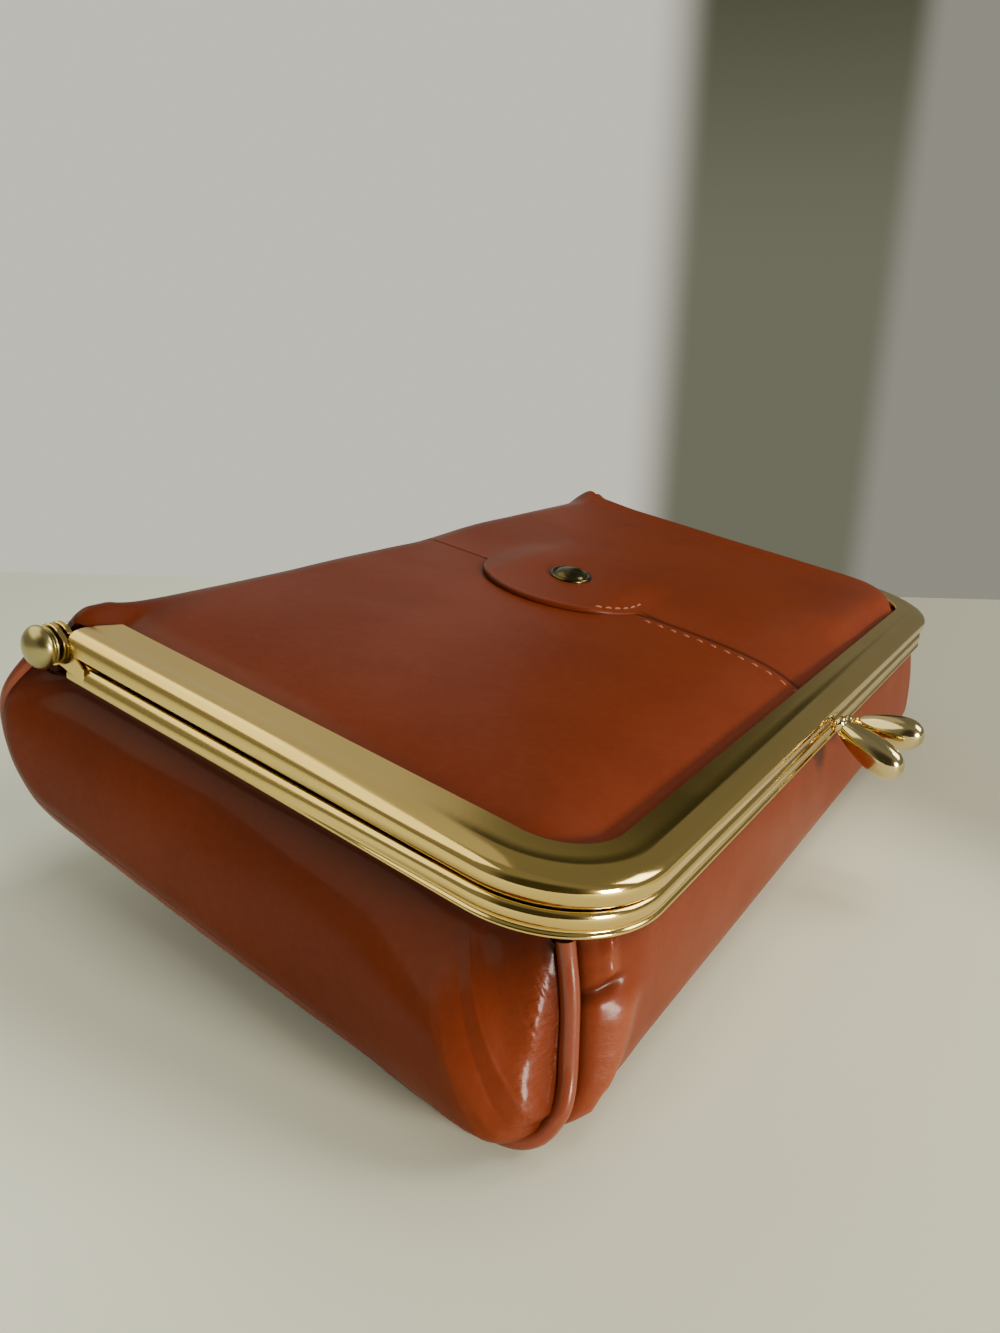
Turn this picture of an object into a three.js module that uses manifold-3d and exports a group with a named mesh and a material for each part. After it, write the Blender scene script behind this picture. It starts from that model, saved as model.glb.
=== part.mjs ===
// Leather clutch with a kiss-lock frame, closed and lying on its back.
// Millimetres, +Z up. X runs along the frame's bar, which lies at -Y, and the leather folds at +Y.
// The frame slopes up from the bar to its hinges, because the back is pressed flat near the bar.
import * as THREE from 'three';
import { mergeVertices } from 'three/addons/utils/BufferGeometryUtils.js';
import loadManifold from 'manifold-3d';

const wasm = await loadManifold();
wasm.setup();

const { clamp, lerp, smoothstep, degToRad } = THREE.MathUtils;

// Frame
const FRAME_WIDTH = 180; // across the arms
const FRAME_DEPTH = 95; // bar rim to hinge axis, seen from above
const FRAME_TILT = degToRad(9.8);
const BAR_HEIGHT = 30.9; // flange above the resting surface at the bar's rim
const CORNER_RADIUS = 17.4;
const ARM_FLANGE = 8.7; // rim to inner edge
const BAR_FLANGE = 7.3;
const SHEET_METAL = 0.9;
const RIM_HEIGHT = 3.4; // outer wall of each half
const RIM_GAP = 0.9; // between the closed halves
const SLOT_WIDTH = 2.4; // channel that grips the leather
const LIP = 0.2; // rolled lower edge of the back half
const ARM_END = 4; // arm stops this far before the hinge axis
const ARM_CUT = 1.5; // length of the slanting end of the arm's flange

// Hinge and clasp
const EYE_RADIUS = 3.3;
const TONGUE_INSET = { front: 1.4, back: 0 }; // hinge tongue behind the rim
const TONGUE_ROOT = { front: 5, back: 4 }; // length of tongue joined to the arm
const RIVET_SHANK = 1.2;
const DROP_PIN = 0.6;
const DROP_ANGLES = { front: 20.7, back: -11.8 }; // dip below the frame's plane, degrees
const DROP_X = { front: -4.5, back: 4.5 };
const DROP_ROOT = { front: 0.7, back: 0.48 }; // place on the rim's height, from its top

// Leather
const LEATHER = 1.6;
const FLAP_LEATHER = 1.3;
const CLEARANCE = 0.3;
const TUCK = 2; // leather hidden under the flange
const CROWN_NEAR = 1.5; // front face above the flange on the plain half
const CROWN_FAR = 3; // and on the half with the flap
const CROWN_RAMP = 21; // width over which one passes into the other
const CROWN_REACH = { near: 6, far: 1.2 }; // face rises over about this length from the flange
const CORNER_EASE = 3; // face's corners are rounder than the flange's by this radius
const FACE_MARGIN = 1.5; // face starts to rise this far inside the flange
const FOLD_EDGE = 0.5; // ends of the fold above the flange
const EAR_LIFT = 2.9; // extra height of the fold's corners behind the hinges
const EAR_REACH = 3.5; // and their width
const BODY_HALF = 90; // half the body's width at its back edge
const FOLD_CENTRE_Y = 44;
const FOLD_REACH = 16; // fold beyond its centre
const FOLD_END = -76; // fold angle where the back begins, degrees
const FLAP_END = -30; // fold angle where the flap ends, degrees
const BACK_RISE = { middle: 7, side: 14.6 }; // back above the surface where the fold begins
const BACK_CURVE = { middle: 1.5, side: 1.15 }; // power of that rise, 1 is straight
const BACK_LIFTS_AT = { middle: 12, side: -26 }; // Y where the back leaves the surface
const WALL_FOOT_Y = -37.5; // centre of the rounded foot of the bar-side wall
const WALL_FOOT_RADIUS = 8.5;
const WALL_BULGE = 0.4;
const WALL_TOP_HALF = 82.2; // half the wall's width at the rim
const WALL_SPREAD = 0.6; // how late the wall widens towards its foot, under 1 is late
const CORNER_PUFF = { left: 1.5, right: -2 }; // wall swells beside its left seam and sinks at its right
const CORNER_PUFF_X = { from: 72, to: 84 };
const PIPING_RADIUS = 1.2;
const GUSSET_BULGE = { hinge: 5.2, corner: 9 };
const GUSSET_FILLS_AT = { from: 8, to: -40 }; // Y over which the bulge grows towards the corner
const GUSSET_FULL_HEIGHT = 15; // shorter stretches of gusset bulge less

// Flap tab and snap
const TAB_CENTRE = { x: 5.5, y: 12 };
const TAB_RADIUS = 18.5;
const FLAP_EDGE_X = 0.85;
const SNAP_RADIUS = 4.4;

const HALF_WIDTH = FRAME_WIDTH / 2;
const BAR_Y = -FRAME_DEPTH / 2;
const HINGE_V = FRAME_DEPTH / Math.cos(FRAME_TILT);
const HINGE_W = -RIM_HEIGHT;
const BACK_TOP = -RIM_HEIGHT - RIM_GAP;
const BACK_BOTTOM = BACK_TOP - RIM_HEIGHT;
const CHANNEL_WIDTH = SLOT_WIDTH + 2 * SHEET_METAL;
const GRIP_INSET = SHEET_METAL + (SLOT_WIDTH - LEATHER) / 2; // outer face of gripped leather
const FLAP_RECESS = FLAP_LEATHER + 1.7 * CLEARANCE;
const PIPING_INSET = PIPING_RADIUS + 0.2;
const SEAM_OUT = 1.4 * CLEARANCE + PIPING_RADIUS; // piping's centre beyond the wrap's edge

const brass = new THREE.MeshStandardMaterial({ color: 0xc8ac72, roughness: 0.28, metalness: 1 });
const darkBrass = new THREE.MeshStandardMaterial({ color: 0x5c5238, roughness: 0.4, metalness: 1 });
const leather = new THREE.MeshStandardMaterial({ color: 0x7c3820, roughness: 0.45 });
const flapLeather = new THREE.MeshStandardMaterial({ color: 0x823c24, roughness: 0.45 });
const pipingLeather = new THREE.MeshStandardMaterial({ color: 0x743420, roughness: 0.4 });

// Solids

function solid(points, triangles) {
  let volume = 0;
  for (const [a, b, c] of triangles) {
    volume += points[a].dot(new THREE.Vector3().crossVectors(points[b], points[c]));
  }
  const facing = volume > 0 ? triangles : triangles.map(([a, b, c]) => [a, c, b]);
  const geometry = new THREE.BufferGeometry().setFromPoints(points);
  geometry.setIndex(facing.flat());
  return geometry;
}

function gridFaces(rows, columns, first) {
  const faces = [];
  for (let r = 0; r + 1 < rows; r++) {
    for (let c = 0; c + 1 < columns; c++) {
      const a = first + r * columns + c;
      const b = a + columns;
      faces.push([a, a + 1, b], [a + 1, b + 1, b]);
    }
  }
  return faces;
}

// Sheet of leather between two grids of points, closed round its edges
function sheetSolid(outer, inner) {
  const rows = outer.length;
  const columns = outer[0].length;
  const count = rows * columns;
  const faces = gridFaces(rows, columns, 0);
  for (const [a, b, c] of gridFaces(rows, columns, count)) faces.push([a, c, b]);
  const edge = [];
  for (let c = 0; c + 1 < columns; c++) edge.push(c);
  for (let r = 0; r + 1 < rows; r++) edge.push(r * columns + columns - 1);
  for (let c = columns - 1; c > 0; c--) edge.push((rows - 1) * columns + c);
  for (let r = rows - 1; r > 0; r--) edge.push(r * columns);
  edge.forEach((a, i) => {
    const b = edge[(i + 1) % edge.length];
    faces.push([b, a, a + count], [b, a + count, b + count]);
  });
  return solid([...outer.flat(), ...inner.flat()], faces);
}

// Bar swept through rings of one outline, with its two ends capped
function sweptSolid(rings, outline) {
  const size = outline.length;
  const faces = [];
  for (let r = 0; r + 1 < rings.length; r++) {
    for (let i = 0; i < size; i++) {
      const a = r * size + i;
      const b = r * size + (i + 1) % size;
      faces.push([a, b, a + size], [b, b + size, a + size]);
    }
  }
  const turn = Math.sign(THREE.ShapeUtils.area(outline));
  const last = (rings.length - 1) * size;
  for (const [a, b, c] of THREE.ShapeUtils.triangulateShape(outline, [])) {
    const same = Math.sign(THREE.ShapeUtils.area([outline[a], outline[b], outline[c]])) === turn;
    const [p, q] = same ? [b, c] : [c, b];
    faces.push([a, q, p], [last + a, last + p, last + q]);
  }
  return solid(rings.flat(), faces);
}

function toManifold(geometry) {
  const bare = geometry.clone();
  bare.deleteAttribute('normal');
  bare.deleteAttribute('uv');
  const merged = mergeVertices(bare, 1e-4);
  return new wasm.Manifold(new wasm.Mesh({
    numProp: 3,
    vertProperties: new Float32Array(merged.attributes.position.array),
    triVerts: new Uint32Array(merged.index.array),
  }));
}

function fromManifold(manifold) {
  const mesh = manifold.getMesh();
  const geometry = new THREE.BufferGeometry();
  geometry.setAttribute('position', new THREE.BufferAttribute(mesh.vertProperties, 3));
  geometry.setIndex(new THREE.BufferAttribute(mesh.triVerts, 1));
  return geometry;
}

function namedMesh(name, geometry, material) {
  const mesh = new THREE.Mesh(geometry, material);
  mesh.name = name;
  return mesh;
}

// Frame coordinates: x along the bar, v up the slope from the bar's rim, w square to the flange

function fromFrame(x, v, w) {
  return new THREE.Vector3(
    x,
    BAR_Y + v * Math.cos(FRAME_TILT) - w * Math.sin(FRAME_TILT),
    BAR_HEIGHT + v * Math.sin(FRAME_TILT) + w * Math.cos(FRAME_TILT),
  );
}

function flangePlane(y) {
  return BAR_HEIGHT + (y - BAR_Y) * Math.tan(FRAME_TILT);
}

// Stations of the rim from the left hinge round the bar to the right hinge
function rimStations() {
  const arcSteps = 8;
  const right = [{ x: 0, v: 0, inX: 0, inV: 1, flange: BAR_FLANGE }];
  for (let i = 0; i <= arcSteps; i++) {
    const turn = (i / arcSteps) * Math.PI / 2;
    right.push({
      x: HALF_WIDTH - CORNER_RADIUS * (1 - Math.sin(turn)),
      v: CORNER_RADIUS * (1 - Math.cos(turn)),
      inX: -Math.sin(turn),
      inV: Math.cos(turn),
      flange: lerp(BAR_FLANGE, ARM_FLANGE, i / arcSteps),
    });
  }
  const armEnd = HINGE_V - ARM_END;
  right.push({ x: HALF_WIDTH, v: armEnd - ARM_CUT, inX: -1, inV: 0, flange: ARM_FLANGE });
  right.push({ x: HALF_WIDTH, v: armEnd, inX: -1, inV: 0, flange: ARM_FLANGE / 2 });
  const left = right.slice(1).reverse().map((s) => ({ ...s, x: -s.x, inX: -s.inX }));
  return [...left, ...right];
}

// Closed outline of sheet metal bent along a line of inset and height
function bentSheet(line) {
  const points = line.map(([inset, height]) => new THREE.Vector2(inset, height));
  const inner = points.map((p, i) => {
    const before = points[Math.max(i - 1, 0)];
    const after = points[Math.min(i + 1, points.length - 1)];
    const along = new THREE.Vector2().subVectors(after, before).normalize();
    return new THREE.Vector2(p.x + along.y * SHEET_METAL, p.y - along.x * SHEET_METAL);
  });
  return [...points, ...inner.reverse()];
}

// Front half: flat flange, raised bead and outer wall, as inset from the rim and height
function frontOutline(flange) {
  return bentSheet([
    [0, -RIM_HEIGHT], [0, -1.7], [0.3, -0.8], [1.0, 0], [2.2, 0.25], [3.3, 0.2], [4.2, 0],
    [flange, 0],
  ]);
}

// Back half: channel open downwards, with a rolled lip on its outer wall
function backOutline() {
  return bentSheet([
    [-LIP, BACK_BOTTOM], [-LIP, BACK_BOTTOM + 0.5], [0, BACK_BOTTOM + 0.9], [0, BACK_TOP - 0.8],
    [0.4, BACK_TOP - 0.2], [1.1, BACK_TOP], [CHANNEL_WIDTH - 0.6, BACK_TOP],
    [CHANNEL_WIDTH, BACK_TOP - 0.6], [CHANNEL_WIDTH, BACK_BOTTOM],
  ]);
}

function sweptHalf(outlineAt) {
  const rings = rimStations().map((s) => outlineAt(s.flange).map(
    (p) => new THREE.Vector3(s.x + s.inX * p.x, s.v + s.inV * p.x, p.y)));
  return sweptSolid(rings, outlineAt(ARM_FLANGE));
}

// Flat tongue with a round eye at the hinge axis, from x to x + SHEET_METAL
function hingeTongue(x, length, low, high) {
  const shape = new THREE.Shape();
  shape.moveTo(HINGE_V - length, low);
  shape.lineTo(HINGE_V - EYE_RADIUS / 2, low);
  shape.lineTo(HINGE_V - EYE_RADIUS / 2, high);
  shape.lineTo(HINGE_V - length, high);
  const tongue = new THREE.ExtrudeGeometry(shape, { depth: SHEET_METAL, bevelEnabled: false });
  tongue.applyMatrix4(new THREE.Matrix4().makeBasis(
    new THREE.Vector3(0, 1, 0), new THREE.Vector3(0, 0, 1), new THREE.Vector3(1, 0, 0)));
  tongue.translate(x, 0, 0);
  const eye = new THREE.CylinderGeometry(EYE_RADIUS, EYE_RADIUS, SHEET_METAL, 20);
  return toManifold(tongue).add(toManifold(alongX(eye, x + SHEET_METAL / 2)));
}

// Turns a geometry made round the Y axis on to the hinge axis, centred at x
function alongX(geometry, x) {
  return geometry.rotateZ(-Math.PI / 2).translate(x, HINGE_V, HINGE_W);
}

// Turns a geometry made round the Y axis on to a clasp drop's axis, rooted at the rim
function alongDrop(geometry, half) {
  const rimTop = half === 'front' ? 0 : BACK_TOP;
  return geometry.rotateX(Math.PI + degToRad(DROP_ANGLES[half]))
    .translate(DROP_X[half], 0, rimTop - RIM_HEIGHT * DROP_ROOT[half]);
}

function frameHalf(half) {
  const front = half === 'front';
  let body = toManifold(front ? sweptHalf(frontOutline) : sweptHalf(backOutline));
  for (const side of [-1, 1]) {
    const inner = HALF_WIDTH - TONGUE_INSET[half] - SHEET_METAL;
    const x = side > 0 ? inner : -inner - SHEET_METAL;
    const low = front ? BACK_TOP + CLEARANCE : BACK_BOTTOM + SHEET_METAL;
    const high = front ? 0 : BACK_TOP - CLEARANCE;
    body = body.add(hingeTongue(x, ARM_END + TONGUE_ROOT[half], low, high));
    const hole = new THREE.CylinderGeometry(
      RIVET_SHANK + CLEARANCE, RIVET_SHANK + CLEARANCE, 4 * SHEET_METAL, 14);
    body = body.subtract(toManifold(alongX(hole, x + SHEET_METAL / 2)));
  }
  const socket = new THREE.CylinderGeometry(
    DROP_PIN + CLEARANCE, DROP_PIN + CLEARANCE, 3 * SHEET_METAL, 12);
  body = body.subtract(toManifold(alongDrop(socket, half)));
  return namedMesh(`frame_${half}`, fromManifold(body), brass);
}

// Hinge rivet: inner head, shank, two collars and a domed outer head, by radius and place along X
function hingeRivet(side) {
  const profile = [
    { radius: 0, at: -3.2 }, { radius: 2.2, at: -3.2 }, { radius: 2.2, at: -2.6 },
    { radius: RIVET_SHANK, at: -2.5 }, { radius: RIVET_SHANK, at: 0.3 }, { radius: 2.85, at: 0.3 },
    { radius: 2.95, at: 0.5 }, { radius: 2.85, at: 0.7 }, { radius: 2.4, at: 0.8 },
    { radius: 3.0, at: 0.88 }, { radius: 3.1, at: 1.05 }, { radius: 3.0, at: 1.2 },
    { radius: 2.45, at: 1.28 }, { radius: 3.35, at: 1.36 }, { radius: 3.45, at: 1.8 },
    { radius: 3.1, at: 2.7 }, { radius: 2.2, at: 3.45 }, { radius: 0, at: 3.95 },
  ];
  const points = profile.map(({ radius, at }) => new THREE.Vector2(radius, at));
  const geometry = new THREE.LatheGeometry(points, 14);
  geometry.rotateZ(side > 0 ? -Math.PI / 2 : Math.PI / 2);
  geometry.translate(side * HALF_WIDTH, HINGE_V, HINGE_W);
  return namedMesh(side > 0 ? 'hinge_rivet_right' : 'hinge_rivet_left', geometry, brass);
}

// Kiss-lock drop: pin in the rim, round knob, neck and pear
function claspDrop(half) {
  const profile = [
    { radius: 0, at: -SHEET_METAL }, { radius: DROP_PIN, at: -SHEET_METAL }, { radius: DROP_PIN, at: 0.7 },
    { radius: 1.3, at: 0.95 }, { radius: 1.6, at: 1.5 }, { radius: 1.3, at: 2.1 },
    { radius: 1.55, at: 2.8 }, { radius: 2.4, at: 5.4 }, { radius: 2.9, at: 8.7 },
    { radius: 3, at: 10.8 }, { radius: 2.75, at: 12.6 }, { radius: 1.75, at: 14 },
    { radius: 0, at: 14.6 },
  ];
  const points = profile.map(({ radius, at }) => new THREE.Vector2(radius, at));
  const geometry = alongDrop(new THREE.LatheGeometry(points, 14), half);
  return namedMesh(`clasp_drop_${half}`, geometry, brass);
}

// Outer face of the leather wrap: each row is a function from a fraction of the half width to a point

function faceHalf(y) {
  const edge = HALF_WIDTH - ARM_FLANGE + TUCK;
  const cornerX = HALF_WIDTH - CORNER_RADIUS;
  const radius = CORNER_RADIUS - BAR_FLANGE + TUCK;
  const back = Math.max(BAR_Y + CORNER_RADIUS - y, 0);
  return Math.min(edge, cornerX + Math.sqrt(Math.max(radius ** 2 - back ** 2, 0)));
}

// Distance from the inner edge of the flange, with round corners
function insideFlange(x, y) {
  const sideward = HALF_WIDTH - ARM_FLANGE - Math.abs(x);
  const forward = y - BAR_Y - BAR_FLANGE;
  const radius = CORNER_RADIUS - (ARM_FLANGE + BAR_FLANGE) / 2 + CORNER_EASE;
  if (sideward > radius || forward > radius) return Math.min(sideward, forward);
  return radius - Math.hypot(radius - sideward, radius - forward);
}

// Share of the face's full rise that is still missing at a place near the flange
function edgeShare(x, y, reach) {
  return Math.exp(-Math.max(insideFlange(x, y) - FACE_MARGIN, 0) / reach);
}

function faceLift(x, y) {
  const far = clamp(x / CROWN_RAMP, 0, 1);
  const crown = lerp(CROWN_NEAR, CROWN_FAR, far);
  const low = y < FOLD_CENTRE_Y ? -SHEET_METAL - 1.5 * CLEARANCE : FOLD_EDGE;
  const steep = clamp(x / CROWN_RAMP - 1, 0, 1);
  return lerp(crown, low, edgeShare(x, y, lerp(CROWN_REACH.near, CROWN_REACH.far, steep)));
}

function faceRow(y) {
  return (c) => {
    const x = c * faceHalf(y);
    return new THREE.Vector3(x, y, flangePlane(y) + faceLift(x, y));
  };
}

function backHeight(y, c) {
  const spread = c * c;
  const start = lerp(BACK_LIFTS_AT.middle, BACK_LIFTS_AT.side, spread);
  const along = Math.max(y - start, 0) / (FOLD_CENTRE_Y - start);
  const power = lerp(BACK_CURVE.middle, BACK_CURVE.side, spread);
  return lerp(BACK_RISE.middle, BACK_RISE.side, spread) * along ** power;
}

function foldRow(angle) {
  const turn = degToRad(angle);
  const end = degToRad(FOLD_END);
  const half = lerp(HALF_WIDTH - ARM_FLANGE + 2 * TUCK, BODY_HALF, smoothstep(-angle, -60, -15));
  return (c) => {
    const x = c * half;
    const top = flangePlane(FOLD_CENTRE_Y) + faceLift(x, FOLD_CENTRE_Y);
    const endZ = backHeight(FOLD_CENTRE_Y + FOLD_REACH * Math.cos(end), c);
    const share = (1 - Math.sin(end)) / 2;
    const bottom = (endZ - top * (1 - share)) / share;
    const ear = EAR_LIFT * Math.max(Math.sin(turn), 0) ** 3 * edgeShare(x, FOLD_CENTRE_Y, EAR_REACH);
    const z = (top + bottom) / 2 + (top - bottom) / 2 * Math.sin(turn) + ear;
    return new THREE.Vector3(x, FOLD_CENTRE_Y + FOLD_REACH * Math.cos(turn), z);
  };
}

function backRow(y) {
  return (c) => new THREE.Vector3(c * BODY_HALF, y, backHeight(y, c));
}

// How far the rim's rounded corner draws the bar-side wall back at x
function cornerBack(x) {
  const radius = CORNER_RADIUS - GRIP_INSET;
  const past = Math.min(Math.max(Math.abs(x) - HALF_WIDTH + CORNER_RADIUS, 0), radius);
  return radius - Math.sqrt(radius ** 2 - past ** 2);
}

const MOUTH_W = BACK_BOTTOM - CLEARANCE;
const GRIP_W = BACK_BOTTOM + RIM_HEIGHT * 0.45;

function wallHalf(z) {
  const mouthZ = fromFrame(0, GRIP_INSET, MOUTH_W).z;
  return lerp(BODY_HALF, WALL_TOP_HALF, clamp(z / mouthZ, 0, 1) ** WALL_SPREAD);
}

function footRow(angle) {
  const turn = degToRad(angle);
  const z = WALL_FOOT_RADIUS * (1 + Math.sin(turn));
  const y = WALL_FOOT_Y + WALL_FOOT_RADIUS * Math.cos(turn);
  return wallRow(y, z);
}

function wallRow(y, z) {
  const mouthZ = fromFrame(0, GRIP_INSET, MOUTH_W).z;
  return (c) => {
    const x = c * wallHalf(z);
    const up = z / mouthZ;
    const beside = smoothstep(Math.abs(x), CORNER_PUFF_X.from, CORNER_PUFF_X.to);
    const depth = x < 0 ? CORNER_PUFF.left : CORNER_PUFF.right;
    const puff = depth * beside * Math.min(6 * up, 1) * (1 - up);
    return new THREE.Vector3(x, y + cornerBack(x) * up - puff, z);
  };
}

function gripRow(w) {
  return (c) => {
    const x = c * WALL_TOP_HALF;
    return fromFrame(x, GRIP_INSET + cornerBack(x), w);
  };
}

const FACE_STATIONS = [-41.8, -41, -40.2, -37.6, -34, -30, -24, -10, 8, 24, 36, 43.6];
const FOLD_ANGLES = [82, 64, 46, 28, 10, -10, FLAP_END, -46, -62, FOLD_END];
const BACK_STATIONS = [40, 30, 20, 9, -3, -15, -27, WALL_FOOT_Y];
const FOOT_ANGLES = [-112, -135, -158, -180];
const WALL_STEPS = [0.4, 0.75];

function wrapRows() {
  const foot = footRow(FOOT_ANGLES.at(-1))(0);
  const mouth = fromFrame(0, GRIP_INSET, MOUTH_W);
  const wall = WALL_STEPS.map((t) => wallRow(
    lerp(foot.y, mouth.y, t) - WALL_BULGE * Math.sin(Math.PI * t), lerp(foot.z, mouth.z, t)));
  return [
    ...FACE_STATIONS.map(faceRow), ...FOLD_ANGLES.map(foldRow), ...BACK_STATIONS.map(backRow),
    ...FOOT_ANGLES.map(footRow), ...wall, gripRow(MOUTH_W), gripRow(GRIP_W),
  ];
}

// Inward direction of the section at a row, square to X
function inward(rows, r, c) {
  const before = rows[Math.max(r - 1, 0)](c);
  const after = rows[Math.min(r + 1, rows.length - 1)](c);
  return new THREE.Vector3(0, after.z - before.z, before.y - after.y).normalize();
}

function sunk(rows, r, c, depth) {
  return rows[r](c).addScaledVector(inward(rows, r, c), depth);
}

const SIDE_COLUMNS = [0.25, 0.5, 0.72, 0.87, 0.936, 0.976, 1];
const SEAM_COLUMN = 0.005;

function bodyWrap() {
  const rows = wrapRows();
  const flapRows = FACE_STATIONS.length + FOLD_ANGLES.indexOf(FLAP_END) + 1;
  const right = [SEAM_COLUMN, ...SIDE_COLUMNS];
  const columns = [...right.map((c) => -c).reverse(), ...right];
  const recess = (r, c) => (c > 0 && r < flapRows ? FLAP_RECESS : 0);
  const sheet = (extra) => rows.map(
    (_, r) => columns.map((c) => sunk(rows, r, c, recess(r, c) + extra)));
  return namedMesh('body_wrap', sheetSolid(sheet(0), sheet(LEATHER)), leather);
}

// Side seam: the wrap's edge from behind the hinge round to the frame's corner
function seamCurve(side, depth) {
  const rows = wrapRows();
  const start = FACE_STATIONS.length + 2;
  const points = [];
  for (let r = start; r < rows.length - 1; r++) {
    const p = sunk(rows, r, side, depth);
    p.x += side * SEAM_OUT;
    points.push(p);
  }
  return new THREE.CatmullRomCurve3(points, false, 'centripetal');
}

const PIPING_STEPS = 38;
const PIPING_TOP = 0.994; // share of the seam that the piping runs, short of the rim

function piping(side) {
  const seam = seamCurve(side, PIPING_INSET);
  const points = [];
  for (let i = 0; i <= PIPING_STEPS; i++) points.push(seam.getPointAt(PIPING_TOP * i / PIPING_STEPS));
  const path = new THREE.CatmullRomCurve3(points, false, 'centripetal');
  const section = new THREE.Shape().absarc(0, 0, PIPING_RADIUS, 0, 2 * Math.PI);
  const geometry = new THREE.ExtrudeGeometry(section, {
    steps: PIPING_STEPS, curveSegments: 4, bevelEnabled: false, extrudePath: path,
  });
  return namedMesh(side > 0 ? 'piping_right' : 'piping_left', geometry, pipingLeather);
}

// Upper edge of a gusset, outer face: under the hinge eye, then along the channel to the corner
const HINGE_NOTCH = [
  { v: 2.8, w: -5.7 },
  { v: -0.6, w: -5.3 },
  { v: -4.6, w: -4.8 },
];
const GUSSET_ROWS = 26;
const GUSSET_STEPS = [0, 0.04, 0.12, 0.26, 0.45, 0.65, 0.84, 1];
const GRIP_START = HINGE_V - 9;
const GRIP_CORNER = degToRad(33);

function gussetTop(row, side) {
  if (row < HINGE_NOTCH.length) {
    const { v, w } = HINGE_NOTCH[row];
    const p = fromFrame(side * (HALF_WIDTH - GRIP_INSET), HINGE_V + v, HINGE_W + w);
    return { mouth: p, grip: p, inSlot: false };
  }
  const arm = GRIP_START - CORNER_RADIUS;
  const radius = CORNER_RADIUS - GRIP_INSET;
  const arc = radius * GRIP_CORNER;
  const t = (row - HINGE_NOTCH.length) / (GUSSET_ROWS - 1 - HINGE_NOTCH.length);
  const run = t * (arm + arc);
  const turn = Math.max(run - arm, 0) / radius;
  const x = side * (HALF_WIDTH - CORNER_RADIUS + radius * Math.cos(turn));
  const v = run < arm ? GRIP_START - run : CORNER_RADIUS - radius * Math.sin(turn);
  return { mouth: fromFrame(x, v, MOUTH_W), grip: fromFrame(x, v, GRIP_W), inSlot: true };
}

function gusset(side) {
  const seam = seamCurve(side, 2 * PIPING_INSET + 2 * CLEARANCE);
  const outer = [];
  for (let row = 0; row < GUSSET_ROWS; row++) {
    const edge = seam.getPointAt(PIPING_TOP * row / (GUSSET_ROWS - 1));
    edge.x += side * LEATHER / 2;
    const { mouth, grip, inSlot } = gussetTop(row, side);
    const filled = smoothstep(-edge.y, -GUSSET_FILLS_AT.from, -GUSSET_FILLS_AT.to);
    const full = lerp(GUSSET_BULGE.hinge, GUSSET_BULGE.corner, filled);
    const bulge = full * Math.min(edge.distanceTo(mouth) / GUSSET_FULL_HEIGHT, 1);
    const line = GUSSET_STEPS.map((t) => {
      const p = edge.clone().lerp(mouth, t);
      p.x += side * bulge * (1 - (1 - t) ** 5) * (1 - t ** 2.5);
      return p;
    });
    const last = inSlot ? grip : mouth.clone().add(new THREE.Vector3(0, 0, CLEARANCE));
    outer.push([...line, last]);
  }
  const inner = outer.map((line, r) => line.map((p, c) => {
    const along = new THREE.Vector3().subVectors(
      outer[Math.min(r + 1, GUSSET_ROWS - 1)][c], outer[Math.max(r - 1, 0)][c]);
    const across = new THREE.Vector3().subVectors(
      line[Math.min(c + 1, line.length - 1)], line[Math.max(c - 1, 0)]);
    const normal = along.cross(across).normalize();
    const facing = normal.x * side > 0 ? 1 : -1;
    return p.clone().addScaledVector(normal, -facing * LEATHER);
  }));
  return namedMesh(side > 0 ? 'gusset_right' : 'gusset_left', sheetSolid(outer, inner), leather);
}

// Front flap on the right half, with a round tab that reaches over the seam
const TAB_ROWS = [-0.99, -0.93, -0.8, -0.55, -0.28, 0, 0.28, 0.55, 0.8, 0.93, 0.99];
const TAB_APPROACH = 3; // flap lifts towards the tab over this length
const TAB_FADE = { from: 11, to: CROWN_RAMP }; // flap settles back between these X

function tabReach(y) {
  return Math.sqrt(Math.max(TAB_RADIUS ** 2 - (y - TAB_CENTRE.y) ** 2, 0));
}

function flapLift(x, y) {
  const past = Math.abs(y - TAB_CENTRE.y) - TAB_RADIUS;
  const along = 1 - smoothstep(past, 0, TAB_APPROACH);
  return FLAP_RECESS * along * (1 - smoothstep(x, TAB_FADE.from, TAB_FADE.to));
}

function frontFlap() {
  const tabYs = TAB_ROWS.map((t) => TAB_CENTRE.y + t * TAB_RADIUS);
  const ends = [-1, 1].map((t) => TAB_CENTRE.y + t * (TAB_RADIUS + TAB_APPROACH));
  const clear = FACE_STATIONS.filter((y) => y < ends[0] - 1 || y > ends[1] + 1);
  const faceYs = [...clear, ...ends, ...tabYs].sort((a, b) => a - b);
  const angles = FOLD_ANGLES.slice(0, FOLD_ANGLES.indexOf(FLAP_END) + 1);
  const rows = [...faceYs.map(faceRow), ...angles.map(foldRow)];
  const up = new THREE.Vector3(0, -Math.sin(FRAME_TILT), Math.cos(FRAME_TILT));
  const sheet = (depth) => rows.map((row, r) => {
    const half = row(1).x;
    const y = faceYs[r] ?? Infinity;
    const left = Math.min(FLAP_EDGE_X, TAB_CENTRE.x - tabReach(y));
    const inner = [left, left + 1.2, lerp(left, TAB_FADE.from, 0.5), TAB_FADE.from, 0.77 * TAB_FADE.to];
    const columns = [...inner.map((x) => x / half), ...SIDE_COLUMNS];
    return columns.map((c) => sunk(rows, r, c, depth).addScaledVector(up, flapLift(c * half, y)));
  });
  return namedMesh('front_flap', sheetSolid(sheet(0), sheet(FLAP_LEATHER)), flapLeather);
}

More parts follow.
